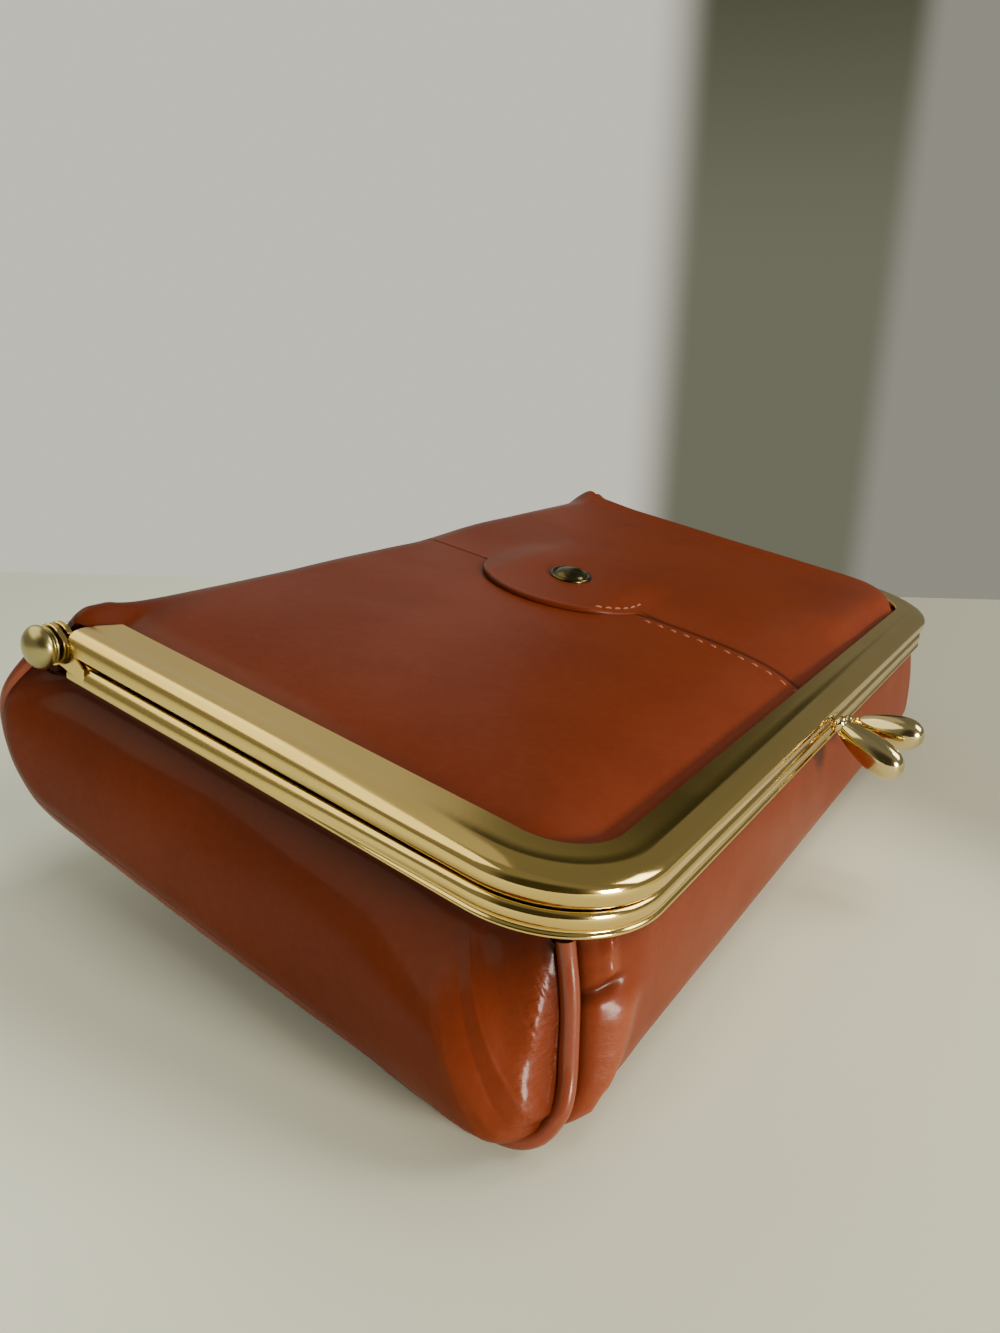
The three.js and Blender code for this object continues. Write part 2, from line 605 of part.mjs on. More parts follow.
// Snap cap on the tab: rolled rim and low dome
function snapCap() {
  const profile = [
    { share: 0, at: 0 }, { share: 1, at: 0 }, { share: 1, at: 0.45 }, { share: 0.91, at: 0.85 },
    { share: 0.8, at: 0.75 }, { share: 0.69, at: 1.05 }, { share: 0.38, at: 1.55 }, { share: 0, at: 1.7 },
  ];
  const points = profile.map(({ share, at }) => new THREE.Vector2(SNAP_RADIUS * share, at));
  const geometry = new THREE.LatheGeometry(points, 20);
  geometry.rotateX(Math.PI / 2);
  const { x, y } = TAB_CENTRE;
  const cap = namedMesh('snap_cap', geometry, darkBrass);
  const lift = faceLift(x, y) * Math.cos(FRAME_TILT) + FLAP_RECESS + CLEARANCE;
  cap.position.set(x, (y - BAR_Y) / Math.cos(FRAME_TILT), lift);
  cap.rotation.y = -Math.atan((CROWN_FAR - CROWN_NEAR) / CROWN_RAMP);
  return cap;
}

const frame = new THREE.Group();
frame.rotation.x = FRAME_TILT;
frame.position.set(0, BAR_Y, BAR_HEIGHT);
frame.add(frameHalf('front'), frameHalf('back'), claspDrop('front'), claspDrop('back'));
frame.add(hingeRivet(-1), hingeRivet(1), snapCap());

const clutch = new THREE.Group();
clutch.add(frame, bodyWrap(), frontFlap());
for (const side of [-1, 1]) clutch.add(gusset(side), piping(side));

// The origin is the middle of the underside
const extent = new THREE.Box3().setFromObject(clutch, true);
const middle = extent.getCenter(new THREE.Vector3());
clutch.position.set(-middle.x, -middle.y, -extent.min.z);

export default clutch;
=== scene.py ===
# Looks of the leather clutch: metres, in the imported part's frame. Sizes here are in millimetres.
import math
from types import SimpleNamespace as Values

import bmesh
import bpy
import numpy as np
from mathutils import Matrix


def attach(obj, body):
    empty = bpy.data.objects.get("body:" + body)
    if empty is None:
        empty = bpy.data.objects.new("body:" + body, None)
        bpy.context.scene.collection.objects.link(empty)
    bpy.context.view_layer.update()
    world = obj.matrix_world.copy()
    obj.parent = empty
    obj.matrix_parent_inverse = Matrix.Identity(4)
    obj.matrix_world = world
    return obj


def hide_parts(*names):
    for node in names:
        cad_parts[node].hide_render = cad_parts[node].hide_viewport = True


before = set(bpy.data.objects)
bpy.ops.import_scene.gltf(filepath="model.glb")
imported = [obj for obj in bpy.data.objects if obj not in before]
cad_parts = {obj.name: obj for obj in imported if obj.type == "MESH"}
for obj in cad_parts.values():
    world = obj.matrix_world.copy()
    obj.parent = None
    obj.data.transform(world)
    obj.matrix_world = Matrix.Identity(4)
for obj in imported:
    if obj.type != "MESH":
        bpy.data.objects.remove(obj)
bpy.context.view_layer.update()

# A pair of values is a ramp's start and end, a bell's centre and width, or two sizes to mix.
MM = 0.001
ORIGIN = np.array([0.005, 0.662, 0.0])  # where the sizes below count from, in the row frame
SIDE_NAME = {-1: "left", 1: "right"}
SHARP = {"sheet": 35, "turned": 40, "leather": 60}  # degrees; steeper edges stay sharp

# Camera, at the photograph's angle
CAMERA_PLACE = np.array([-171.175, -86.071, 86.953])
CAMERA_YAW = 56.902
CAMERA_PITCH = 17.462
CAMERA_ROLL = -1.615
FOCAL_PIXELS = 976.448
PHOTO_HEIGHT = 1333
SENSOR = 36.0
CLIP_START = 5.0

# Frame
HALF_WIDTH = 90.0
BAR_Y = -47.5
FRAME_DEPTH = 95.0
TILT = math.radians(9.8)
BAR_HEIGHT = 30.9
CORNER_RADIUS = 17.4
ARM_FLANGE = 8.7
BAR_FLANGE = 7.3
FLANGE_X = HALF_WIDTH - ARM_FLANGE
FLAT_INSET = 4.6  # the flange is flat from here inwards
FLANGE_EDGE = 0.12
SHEET_METAL = 0.9
RIM_HEIGHT = 3.4
RIM_GAP = 0.9
RIM_CLOSING = 0.6  # upper half's wall reaches this much lower along the bar
CLOSING_FADES = (10.0, 62.0)  # over this stretch of the arms
ARM_SATIN = Values(share=1.1, along=(18.0, 45.0), off_slot=(0.3, 0.9))
SLOT_WIDTH = 2.4
ARM_END = 4.0
ARM_CUT = 1.5
ARM_END_FLANGE = 0.6 * ARM_FLANGE
EYE_RADIUS = 3.3
EYE_TURN = 2.3
PLATE_EDGE = ((0.0, 0.12), (0.14, 0.0), (0.86, 0.0), (1.0, 0.12))  # share of the thickness, inset
DROP_ANGLES = {"front": 20.7, "back": -11.8}
DROP_X = {"front": -4.5, "back": 4.5}
DROP_ROOT = {"front": 0.7, "back": 0.48}
HINGE_V = FRAME_DEPTH / math.cos(TILT)
HINGE_W = -RIM_HEIGHT
BACK_TOP = -RIM_HEIGHT - RIM_GAP
BACK_BOTTOM = BACK_TOP - RIM_HEIGHT
CHANNEL_WIDTH = SLOT_WIDTH + 2 * SHEET_METAL
TONGUE_INSET = {"front": 1.4, "back": 0.0}
TONGUE_ROOT = {"front": 5.0, "back": 4.0}
TONGUE_SPAN = {"front": (BACK_TOP + 0.3, -0.25), "back": (BACK_BOTTOM + SHEET_METAL, BACK_TOP - 0.3)}
TURNED_SEGMENTS = 40

# Leather face and fold
LEATHER = 1.6
TUCK = 2.0
FACE_MARGIN = (1.5, 0.4)  # plain, and at the far corner
FAR_CORNER = Values(x=(56.0, 72.0), y=(-34.0, -20.0))
FACE_LOW = -1.35
CROWN = (1.5, 3.0)  # near and far side
CROWN_RAMP = (-5.0, 25.0)
REACH = (6.0, 1.3)  # near and far side
REACH_RAMP = (20.0, 44.0)
CORNER_EASE = 1.2
WAVES = Values(slow=0.16, soft=0.04)
FAR_RIDGE = Values(height=0.8, inset=(5.5, 4.5), starts=(-40.0, -24.0))
FAR_HUMP = Values(height=1.2, x=(82.0, 6.5), starts=(30.0, 44.0))
SEAM_STEP = Values(height=0.22, reach=4.0, fades=(-10.0, -5.0), end_x=1.2)
FACE_END = 43.9
FOLD_Y = 44.0
FOLD_REACH = 16.0
FOLD_EDGE = 0.5
FOLD_RISES = (43.0, 46.5)
FOLD_WIDENS = (42.6, 46.5)
FOLD_SIDE_TURN = (-60.0, -15.0)
FOLD_TUCK = 0.16  # fold's upper edge draws back at its ends
FOLD_TUCK_TURN = (0.0, 45.0)
FOLD_END = -76.0
EAR_LIFT = (3.0, 2.5)  # far and near side
EAR_REACH = (5.5, 4.5)
EAR_STARTS = (43.5, 48.0)
EAR_CURL = Values(depth=2.2, reach=3.2, starts=(43.5, 46.5), turn=(30.0, 60.0))
EAR_CURL_START = Values(wrap=0.9, flap=0.3)

# Leather back and wall
BODY_HALF = 90.0
BACK_RISE = (7.0, 14.6)  # in the middle and at the sides, as the next two
BACK_CURVE = (1.5, 1.15)
BACK_LIFTS_AT = (12.0, -26.0)
EDGE_CURL = (1.6, 1.9)  # on the back and the wall, as the next two
CURL_REACH = (1.5, 2.2)
CURL_START = (0.9, 1.6)
CURL_RAMP = (0.5, 8.0)
FOOT_Y = -37.5
FOOT_RADIUS = 8.5
WALL_BULGE = 0.4
WALL_TOP_HALF = 82.2
WALL_SPREAD = 0.6
WALL_ROLL = Values(height=0.9, inset=1.4, leans=0.17, width=1.5, widens=0.1,
                   foot=(-0.5, 3.0), top=(13.5, 17.0))
WALL_CREASE = Values(depth=0.9, z=17.0, leans=0.2, width=0.8, inset=(1.5, 5.0), above=(10.0, 12.0))
WALL_PLEAT = Values(height=0.6, inset=(2.0, 1.0), above=(17.6, 19.4), mark=0.7)
WALL_FAR_SHARE = 0.55  # of the folds, at the hidden end
CRINKLES = Values(height=0.16, stretch=0.35)
CORNER_PUFF = (1.0, -1.0)  # left and right
CORNER_PUFF_X = (72.0, 84.0)
GRIP_INSET = SHEET_METAL + (SLOT_WIDTH - LEATHER) / 2
GRIP_ROWS = 4
# Painted shade darkens the wrap's last rows, under the frame.
SHADED_ROWS = 12  # under the frame, with the grip's rows
MOUTH_W = BACK_BOTTOM - 0.3
GRIP_W = BACK_BOTTOM + 0.45 * RIM_HEIGHT
# creased sets the wrinkle bump; the others are painted sheen on the wall's roll and painted shade in its
# crease, near the left hinge's ear and under the frame.
WRAP_MARKS = Values(creased=0.8, pale_roll=0.5, dark_crease=0.6, dark_hinge=0.45, dark_top=0.4)
PAINTED_HINGE_SHADE = Values(x=(60.0, 74.0), y=(36.0, 45.0))

# Seams and piping
PIPING_RADIUS = 1.2
PIPING_SWELL = Values(share=0.03, pace=3)
PIPING_CREASED = 0.3
PIPING_INSET = 1.4
PIPING_TOP = 0.994  # share of the seam
PIPING_END = 0.8  # piping runs on this far under the frame
WALL_SINK = 0.4  # seam lies deeper behind the wall
WALL_OUT = 0.6  # and further out
WALL_LAP = 70.0  # the wall's hem is spread by this
SEAM_OUT = 2.1
SEAM_TURN = 46.0  # piping starts here on the fold
HEM_RAMP = (1.0, 8.0)
TOE_OUT = Values(wrap=0.8, seam=1.6)  # forward at the foot
TOE_SIDE = 1.4  # outward at the wrap's lower corners
TOE_Z = (3.5, 4.5)
TOE_RAMPS = Values(side=(0.955, 1.0), forward=(12.0, 38.0), up=(2.0, 10.0))

# Flap
FLAP_LEATHER = 0.85
FLAP_END = -30.0
FLAP_COVERS = (FLAP_END - 12, FLAP_END - 4)
FLAP_RECESS = 1.81
RECESS_STARTS = (0.1, 0.48)
FLAP_EDGE_X = 0.62
FLAP_ROUND = Values(depth=0.4, reach=0.45)
FLAP_SKIVED = Values(share=0.5, over=(2.0, 8.0), least=0.2)
# Painted shadow along the flap's edge with a paler line just inside it, and painted shadow along the seam
# where the plain half laps the flap.
FLAP_MARKS = Values(dark_edge=0.35, pale_line=0.1, dark_seam=0.85)
PAINTED_EDGE_SHADOW, PALE_LINE = (0.0, 0.3), (0.9, 0.5)
FLAP_SEAM_SHADOW = Values(x=(1.2, 2.6), y=(-9.0, -5.0))
FLAP_DIP = Values(depth=0.42, x=(0.5, 11.0), y=(-13.0, -6.0))
TAB_X, TAB_Y, TAB_RADIUS = 5.5, 12.0, 18.5
TAB_RISE = 1.05
TAB_FADES = Values(x=(8.0, 26.0), beside=(-7.5, 1.5))
TAB_TURN = 75.0
SNAP_RADIUS = 4.4
SNAP_SINK = 0.1
SNAP_RUN = 24.0  # the crown rises over this under the snap
SNAP_DIMPLE = Values(depth=0.3, width=6.5)

# Gussets
GUSSET_KEYS = 26
HINGE_NOTCH = [(2.8, -5.7), (-0.6, -5.3), (-4.6, -4.8)]
NOTCH_GRIP = 0.3
GRIP_START = HINGE_V - 9
GRIP_CORNER = math.radians(33)
GUSSET_DEPTH = 2.3  # gusset's edge behind the piping
GUSSET_OUT = 0.4
FINE_SHARE, FINE_POWER = 0.3, 1.25  # rows lie closer near the seam
NEAR_CORNER = (-24.0, -36.0)
PILLOW = (0.9, 5.5)  # at the hinge and the near corner
PILLOW_REACH = 7.0
ROLL = (2.5, 3.4)
ROLL_REACH = (3.4, 2.7)
FILLS_AT = (8.0, -40.0)  # Y where a gusset fills out
TOP_EDGE = Values(reach=8.5, power=1.5)
TOP_DIP = Values(depth=1.3, at=(2.0, 2.2), off_seam=(2.0, 9.0))
SLACK = (1.0, 6.0)
DENTS = 0.3
HOLLOW = Values(depth=0.9, y=(-26.5, 5.0), z=(25.0, 6.0))
PLEATED = Values(at=(1.5, 1.5), off_mouth=(1.5, 5.0), height=0.09, stretch=0.3)
PATCHY = Values(least=0.4, over=(-0.4, 0.6))
SEAM_SWELL = Values(height=0.5, at=(2.2, 1.6), off_mouth=(1.0, 6.0), facing=(0.3, 0.9))
# creased sets the wrinkle bump; the others are painted sheen on the pleats and painted shade by the seam,
# under the frame and inside the slot.
GUSSET_MARKS = Values(creased=1.2, pale_pleats=0.2, dark_seam=0.6, dark_top=0.85, slot=-0.8)
PAINTED_SEAM_SHADE_REACH = 0.8
PAINTED_TOP_SHADE = Values(reach=6.0, power=1.6)

# Stitches
SEAM_STITCH = Values(count=12, length=1.5, pitch=2.75, x=-1.6, y=-8.6)
TAB_STITCH = Values(count=6, length=1.6, pitch=2.15, inset=1.9, turn=-91.0)
STITCH_RADIUS = 0.2
STITCH_ARCH = Values(height=0.28, sunk=0.2, power=0.6)
STITCH_TAPER = Values(least=0.35, power=0.5)
STITCH_FLAT = 1.15  # width over height


# Numbers

join = np.concatenate


def mix(a, b, t):
    return a + (b - a) * t


def smooth(x, low, high):
    t = np.clip((x - low) / (high - low), 0.0, 1.0)
    return t * t * (3 - 2 * t)


def fade(x, low, high):
    return 1 - smooth(x, low, high)


def bell(x, centre, width):
    return np.exp(-(((x - centre) / width) ** 2))


def quarter(d, length):
    """Rises from 0 to 1 as a quarter circle over the length."""
    return np.sqrt(np.maximum(1 - (1 - np.clip(d / length, 0.0, 1.0)) ** 2, 0.0))


def ripples(seed, size, count=10):
    """A smooth seeded field of about -1 to 1, with features of that size."""
    rng = np.random.default_rng(seed)
    turns = rng.uniform(0, math.tau, count)
    lengths = size * rng.uniform(0.7, 1.6, count)
    phases = rng.uniform(0, math.tau, count)

    def field(a, b):
        total = 0
        for turn, length, phase in zip(turns, lengths, phases):
            along = a * math.cos(turn) + b * math.sin(turn)
            total = total + np.sin(along * math.tau / length + phase)
        return total / math.sqrt(2 * count)

    return field


def spline(points, steps):
    """Points of a smooth line through the given ones."""
    p = np.array(points, float)
    p = np.vstack([2 * p[0] - p[1], p, 2 * p[-1] - p[-2]])
    t = np.linspace(0, 1, steps, endpoint=False)[:, None]
    parts = []
    for a, b, c, d in zip(p[:-3], p[1:-2], p[2:-1], p[3:]):
        parts.append(b + 0.5 * t * (c - a + t * (2 * a - 5 * b + 4 * c - d + t * (3 * (b - c) + d - a))))
    return np.vstack(parts + [p[-2:-1]])


def resample(line, values, fractions):
    """Values that go with a line's points, at the given fractions of its length."""
    gaps = np.linalg.norm(np.diff(line, axis=0), axis=1)
    along = join([[0], np.cumsum(gaps)])
    return np.stack([np.interp(fractions * along[-1], along, values[:, k]) for k in range(3)], -1)


def place(x, y, z):
    return np.stack(np.broadcast_arrays(x, y, z), -1).astype(float)


def from_frame(x, v, w):
    """x along the bar, v up the slope from the bar's rim, w square to the flange."""
    return place(x, BAR_Y + v * math.cos(TILT) - w * math.sin(TILT),
                 BAR_HEIGHT + v * math.sin(TILT) + w * math.cos(TILT))


def frame_axes(direction):
    """A direction along the frame's x, v and w, in the row's axes."""
    return from_frame(*direction) - from_frame(0, 0, 0)


ALONG_BAR = np.array([1.0, 0, 0])
UP_SLOPE = frame_axes((0, 1, 0))
OFF_FLANGE = frame_axes((0, 0, 1))


def unit(v):
    return v / np.maximum(np.linalg.norm(v, axis=-1, keepdims=True), 1e-9)


def hoops(path, radius, first, second, segments):
    """Circles round the points of a path, each in the plane of the two directions."""
    turn = np.linspace(0, math.tau, segments, endpoint=False)[None, :, None]
    first, second = (np.broadcast_to(d, path.shape)[:, None] for d in (first, second))
    return path[:, None] + radius[:, None, None] * (np.cos(turn) * first + np.sin(turn) * second)


SLOW_WAVES = ripples(3, 46.0)
SOFT_WAVES = ripples(5, 17.0)
CRINKLE = ripples(11, 2.0)
DENT = ripples(23, 30.0)
PLEATS = ripples(29, 1.4)
PATCHES = ripples(31, 8.0)


# Meshes

def grid_faces(rows, columns, first=0, ring=False):
    r = np.arange(rows - 1)[:, None]
    c = np.arange(columns if ring else columns - 1)[None, :]
    a = first + r * columns + c
    b = first + r * columns + (c + 1) % columns
    return np.stack([a, b, b + columns, a + columns], -1).reshape(-1, 4).tolist()


class Shape:
    """Points, faces and the two marks of one piece, gathered from parts."""

    def __init__(self):
        self.points, self.faces, self.marks, self.count = [], [], [], 0

    def add(self, points, faces, marks=None):
        points = points.reshape(-1, 3)
        self.faces += [[i + self.count for i in face] for face in faces]
        self.points.append(points)
        if marks is None:
            marks = np.zeros((len(points), 2))
        self.marks.append(marks.reshape(-1, 2))
        self.count += len(points)

    def sheet(self, outer, inner, marks):
        rows, columns = outer.shape[:2]
        count = rows * columns
        index = np.arange(count).reshape(rows, columns)
        rim = join([index[0, :-1], index[:-1, -1], index[-1, :0:-1], index[:0:-1, 0]])
        after = np.roll(rim, -1)
        sides = np.stack([rim, after, after + count, rim + count], -1).tolist()
        faces = grid_faces(rows, columns) + grid_faces(rows, columns, count) + sides
        both = join([marks.reshape(-1, 2)] * 2)
        self.add(join([outer.reshape(-1, 3), inner.reshape(-1, 3)]), faces, both)

    def rings(self, rings, marks=None):
        rows, columns = rings.shape[:2]
        ends = [list(range(columns)), list(range((rows - 1) * columns, rows * columns))]
        self.add(rings, grid_faces(rows, columns, ring=True) + ends, marks)

    def lathe(self, profile, root, along, first, second, segments=TURNED_SEGMENTS):
        """Turns points of (radius, at) round the line from the root."""
        path = root + profile[:, 1:] * np.array(along, float)
        self.rings(hoops(path, np.maximum(profile[:, 0], 0.02), first, second, segments))

    def build(self, name, material, nodes, sharp):
        mesh = bpy.data.meshes.new(name)
        points = (join(self.points) + ORIGIN) * MM
        mesh.from_pydata(points.tolist(), [], self.faces)
        marks = join(self.marks)
        for k, mark in enumerate(("wrinkle", "shade")):
            layer = mesh.attributes.new(mark, "FLOAT", "POINT")
            layer.data.foreach_set("value", marks[:, k].astype(np.float32))
        work = bmesh.new()
        work.from_mesh(mesh)
        bmesh.ops.recalc_face_normals(work, faces=work.faces)
        work.to_mesh(mesh)
        work.free()
        mesh.shade_smooth()
        mesh.set_sharp_from_angle(angle=math.radians(SHARP[sharp]))
        mesh.materials.append(material)
        piece = bpy.data.objects.new(name, mesh)
        bpy.context.scene.collection.objects.link(piece)
        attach(piece, "root")
        if nodes:
            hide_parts(*nodes)


def leather_piece(name, node, outer, inner, marks):
    shape = Shape()
    shape.sheet(outer, inner, marks)
    shape.build(name, LEATHER_PAINT, [node], "leather")


def outward(points):
    """Normals of a grid of points whose rows run round the section and columns along X."""
    return unit(np.cross(np.gradient(points, axis=1), np.gradient(points, axis=0)))


# Camera

def add_camera():
    yaw, pitch, roll = (math.radians(a) for a in (CAMERA_YAW, CAMERA_PITCH, CAMERA_ROLL))
    forward = np.array([math.sin(yaw) * math.cos(pitch), math.cos(yaw) * math.cos(pitch), -math.sin(pitch)])
    level = np.array([math.cos(yaw), -math.sin(yaw), 0.0])
    steep = np.cross(forward, level)
    right = math.cos(roll) * level + math.sin(roll) * steep
    down = math.cos(roll) * steep - math.sin(roll) * level
    data = bpy.data.cameras.new("camera")
    data.sensor_fit = "VERTICAL"
    data.sensor_height = SENSOR
    data.lens = FOCAL_PIXELS * SENSOR / PHOTO_HEIGHT
    data.clip_start = CLIP_START * MM
    camera = bpy.data.objects.new("camera", data)
    set_axes(camera, right, -down, -forward, (CAMERA_PLACE + ORIGIN) * MM)
    bpy.context.scene.collection.objects.link(camera)
    bpy.context.scene.camera = camera


def set_axes(thing, x, y, z, at):
    matrix = np.eye(4)
    matrix[:3, 0], matrix[:3, 1], matrix[:3, 2], matrix[:3, 3] = x, y, z, at
    thing.matrix_world = Matrix(matrix.tolist())


add_camera()


# Materials

class Nodes:
    """Shortcuts for nodes, whose inputs are values or outputs of other nodes."""

    def __init__(self, tree, coordinates):
        self.tree = tree
        self.where = self.node("ShaderNodeTexCoord").outputs[coordinates]

    def fill(self, node, inputs):
        for key, value in inputs.items():
            if isinstance(value, bpy.types.NodeSocket):
                self.tree.links.new(value, node.inputs[key])
            else:
                node.inputs[key].default_value = value

    def node(self, kind, inputs=None, **settings):
        node = self.tree.nodes.new(kind)
        for key, value in settings.items():
            setattr(node, key, value)
        self.fill(node, inputs or {})
        return node

    def math(self, operation, a, b, clamp=False):
        return self.node("ShaderNodeMath", {0: a, 1: b}, operation=operation, use_clamp=clamp).outputs[0]

    def span(self, value, low, high, to_low=0.0, to_high=1.0):
        inputs = {"Value": value, "From Min": low, "From Max": high, "To Min": to_low, "To Max": to_high}
        return self.node("ShaderNodeMapRange", inputs, interpolation_type="SMOOTHSTEP").outputs["Result"]

    def blend(self, share, *colours):
        inputs = {key: (*c, 1.0) if isinstance(c, tuple) else c for key, c in zip("AB", colours)}
        return self.node("ShaderNodeMix", {"Factor": share, **inputs}, data_type="RGBA").outputs["Result"]

    def towards(self, direction):
        inputs = {0: self.where, 1: direction}
        return self.node("ShaderNodeVectorMath", inputs, operation="DOT_PRODUCT").outputs["Value"]


class Paint(Nodes):
    """A material whose textures lie on the piece."""

    def __init__(self, name):
        self.material = bpy.data.materials.new(name)
        self.material.use_nodes = True
        super().__init__(self.material.node_tree, "Object")

    def surface(self, **inputs):
        """Sets the shader's inputs, with an underscore for each space of their names."""
        shader = self.tree.nodes["Principled BSDF"]
        self.fill(shader, {key.replace("_", " "): value for key, value in inputs.items()})
        return self.material

    def noise(self, scale, detail=3.0, roughness=0.55, distortion=0.0, stretch=None):
        where = self.where
        if stretch:
            where = self.node("ShaderNodeMapping", {"Vector": where, "Scale": stretch}).outputs["Vector"]
        inputs = {"Vector": where, "Scale": scale, "Detail": detail, "Roughness": roughness,
                  "Distortion": distortion}
        return self.node("ShaderNodeTexNoise", inputs).outputs["Fac"]

    def cells(self, scale):
        return self.node("ShaderNodeTexVoronoi", {"Vector": self.where, "Scale": scale}).outputs["Distance"]

    def mark(self, name):
        return self.node("ShaderNodeAttribute", attribute_name=name).outputs["Fac"]

    def bump(self, height, depth, strength=1.0, under=None):
        inputs = {"Height": height, "Distance": depth * MM, "Strength": strength}
        if under is not None:
            inputs["Normal"] = under
        return self.node("ShaderNodeBump", inputs).outputs["Normal"]


def darker(colour, share):
    return tuple(share * c for c in colour)


def leather_paint(name, base, dark, light, rough, coat):
    """Waxed leather with clouds and pores, creased where the piece is marked, darkened by painted shade
    where its shade mark is below 0 and paled by painted sheen where it is above.
    """
    p = Paint(name)
    clouds = p.span(p.noise(30.0, roughness=0.5), 0.3, 0.7)
    specks = p.span(p.noise(700.0, roughness=0.6), 0.35, 0.7)
    colour = p.blend(p.math("MULTIPLY", clouds, 0.6), base, dark)
    colour = p.blend(p.math("MULTIPLY", specks, 0.05), colour, light)
    shade = p.mark("shade")
    # Painted shade: a negative shade mark darkens towards a near-black. Painted sheen: a positive one pales
    # towards the light colour.
    colour = p.blend(p.math("MULTIPLY", shade, -1.0, clamp=True), colour, darker(dark, 0.22))
    colour = p.blend(p.math("MULTIPLY", shade, 1.0, clamp=True), colour, light)
    pores = p.math("ADD", p.math("MULTIPLY", p.cells(1900.0), 0.7), p.noise(3200.0, detail=2.0))
    normal = p.bump(pores, depth=0.03, strength=0.5)
    creases = p.noise(850.0, roughness=0.6, distortion=0.7, stretch=(0.6, 0.6, 1.5))
    creases = p.math("MULTIPLY", creases, p.mark("wrinkle"))
    normal = p.bump(creases, depth=0.38, strength=0.8, under=normal)
    return p.surface(
        Base_Color=colour, Roughness=p.span(clouds, 0.0, 1.0, rough - 0.04, rough + 0.05), Normal=normal,
        Coat_Weight=coat, Coat_Roughness=0.17, Specular_IOR_Level=0.08)


def metal_paint(name, base, worn, rough, satin=0.0):
    """Polished metal, more matt by satin where the piece is marked, with faint tarnish and spots."""
    p = Paint(name)
    tarnish = p.span(p.noise(40.0, roughness=0.5), 0.3, 0.7)
    spots = p.span(p.noise(800.0, roughness=0.7), 0.64, 0.74)
    colour = p.blend(p.math("MULTIPLY", tarnish, 0.5), base, worn)
    colour = p.blend(p.math("MULTIPLY", spots, 0.12), colour, darker(worn, 0.3))
    matt = p.math("MULTIPLY", p.mark("wrinkle"), satin)
    return p.surface(
        Base_Color=colour, Metallic=1.0,
        Roughness=p.math("ADD", p.span(tarnish, 0.0, 1.0, rough, rough + 0.05), matt),
        Normal=p.bump(p.noise(1600.0, detail=2.0), depth=0.006, strength=0.4))


def thread_paint(dark, light):
    p = Paint("thread")
    return p.surface(
        Base_Color=p.blend(p.noise(2500.0, detail=2.0), dark, light), Roughness=0.75,
        Normal=p.bump(p.noise(5000.0, detail=2.0), depth=0.04))


# The light colour serves both the grain's specks and the painted sheen.
LEATHER_PAINT = leather_paint(
    "body_leather", base=(0.118, 0.0187, 0.0042), dark=(0.087, 0.0122, 0.0024), light=(0.25, 0.070, 0.032),
    rough=0.46, coat=0.13)
PIPING_PAINT = leather_paint(
    "piping_leather", base=(0.150, 0.0290, 0.0110), dark=(0.108, 0.018, 0.0060), light=(0.27, 0.080, 0.038),
    rough=0.36, coat=0.7)
BRASS_PAINT = metal_paint("frame_brass", (0.76, 0.555, 0.185), (0.64, 0.46, 0.140), rough=0.10, satin=0.07)
RIVET_PAINT = metal_paint("rivet_brass", (0.42, 0.355, 0.160), (0.33, 0.28, 0.120), rough=0.26)
DROP_PAINT = metal_paint("drop_brass", (0.70, 0.57, 0.290), (0.56, 0.45, 0.215), rough=0.09)
SNAP_PAINT = metal_paint("snap_brass", (0.075, 0.062, 0.026), (0.038, 0.030, 0.012), rough=0.24)
THREAD_PAINT = thread_paint((0.21, 0.054, 0.026), (0.325, 0.108, 0.057))


# Frame halves

def rim_stations():
    """Rim from the left hinge round the bar to the right hinge: x, v, inward x, inward v, flange width."""
    turn = np.linspace(0, math.pi / 2, 25)
    bar = np.linspace(0, HALF_WIDTH - CORNER_RADIUS, 9)[:-1]
    arm_end = HINGE_V - ARM_END
    arm = np.linspace(CORNER_RADIUS, arm_end - ARM_CUT, 12)[1:]
    arm = join([arm, [arm_end]])
    corner_x = HALF_WIDTH - CORNER_RADIUS * (1 - np.sin(turn))
    corner_flange = mix(BAR_FLANGE, ARM_FLANGE, turn * 2 / math.pi)
    x = join([bar, corner_x, np.full(len(arm), HALF_WIDTH)])
    v = join([0 * bar, CORNER_RADIUS * (1 - np.cos(turn)), arm])
    in_x = join([0 * bar, -np.sin(turn), np.full(len(arm), -1.0)])
    in_v = join([0 * bar + 1, np.cos(turn), 0 * arm])
    flange = join([0 * bar + BAR_FLANGE, corner_flange, 0 * arm + ARM_FLANGE])
    flange[-1] = ARM_END_FLANGE
    right = np.stack([x, v, in_x, in_v, flange], -1)
    left = right[:0:-1] * np.array([-1, 1, -1, 1, 1])
    return join([left, right])


def bent_sheet(line):
    along = unit(np.gradient(line, axis=0))
    inner = line + SHEET_METAL * np.stack([along[:, 1], -along[:, 0]], -1)
    return join([line, inner[::-1]])


def front_line(flange, closing):
    """Upper half's outer face, as inset and height; where it closes lower, it is also rounder."""
    firm = [(0.2, -3.42), (0.02, -3.25), (0.0, -2.6), (0.05, -1.85), (0.3, -1.0), (0.85, -0.28),
            (1.6, 0.07), (2.5, 0.18), (3.4, 0.13), (4.3, 0.02), (FLAT_INSET, 0.0)]
    round_ = [(0.7, -3.42), (0.42, -3.2), (0.1, -2.7), (0.0, -2.05), (0.18, -1.4), (0.62, -0.82),
              (1.35, -0.4), (2.3, -0.08), (3.3, 0.05), (4.3, 0.02), (FLAT_INSET, 0.0)]
    wall = mix(np.array(firm), np.array(round_), closing / RIM_CLOSING)
    wall[:3, 1] -= closing * np.array([1.0, 1.0, 0.5])
    flat = np.stack([np.linspace(FLAT_INSET, flange - FLANGE_EDGE, 5), np.zeros(5)], -1)[1:]
    return join([spline(wall, 3), flat, [(flange, -FLANGE_EDGE)]])


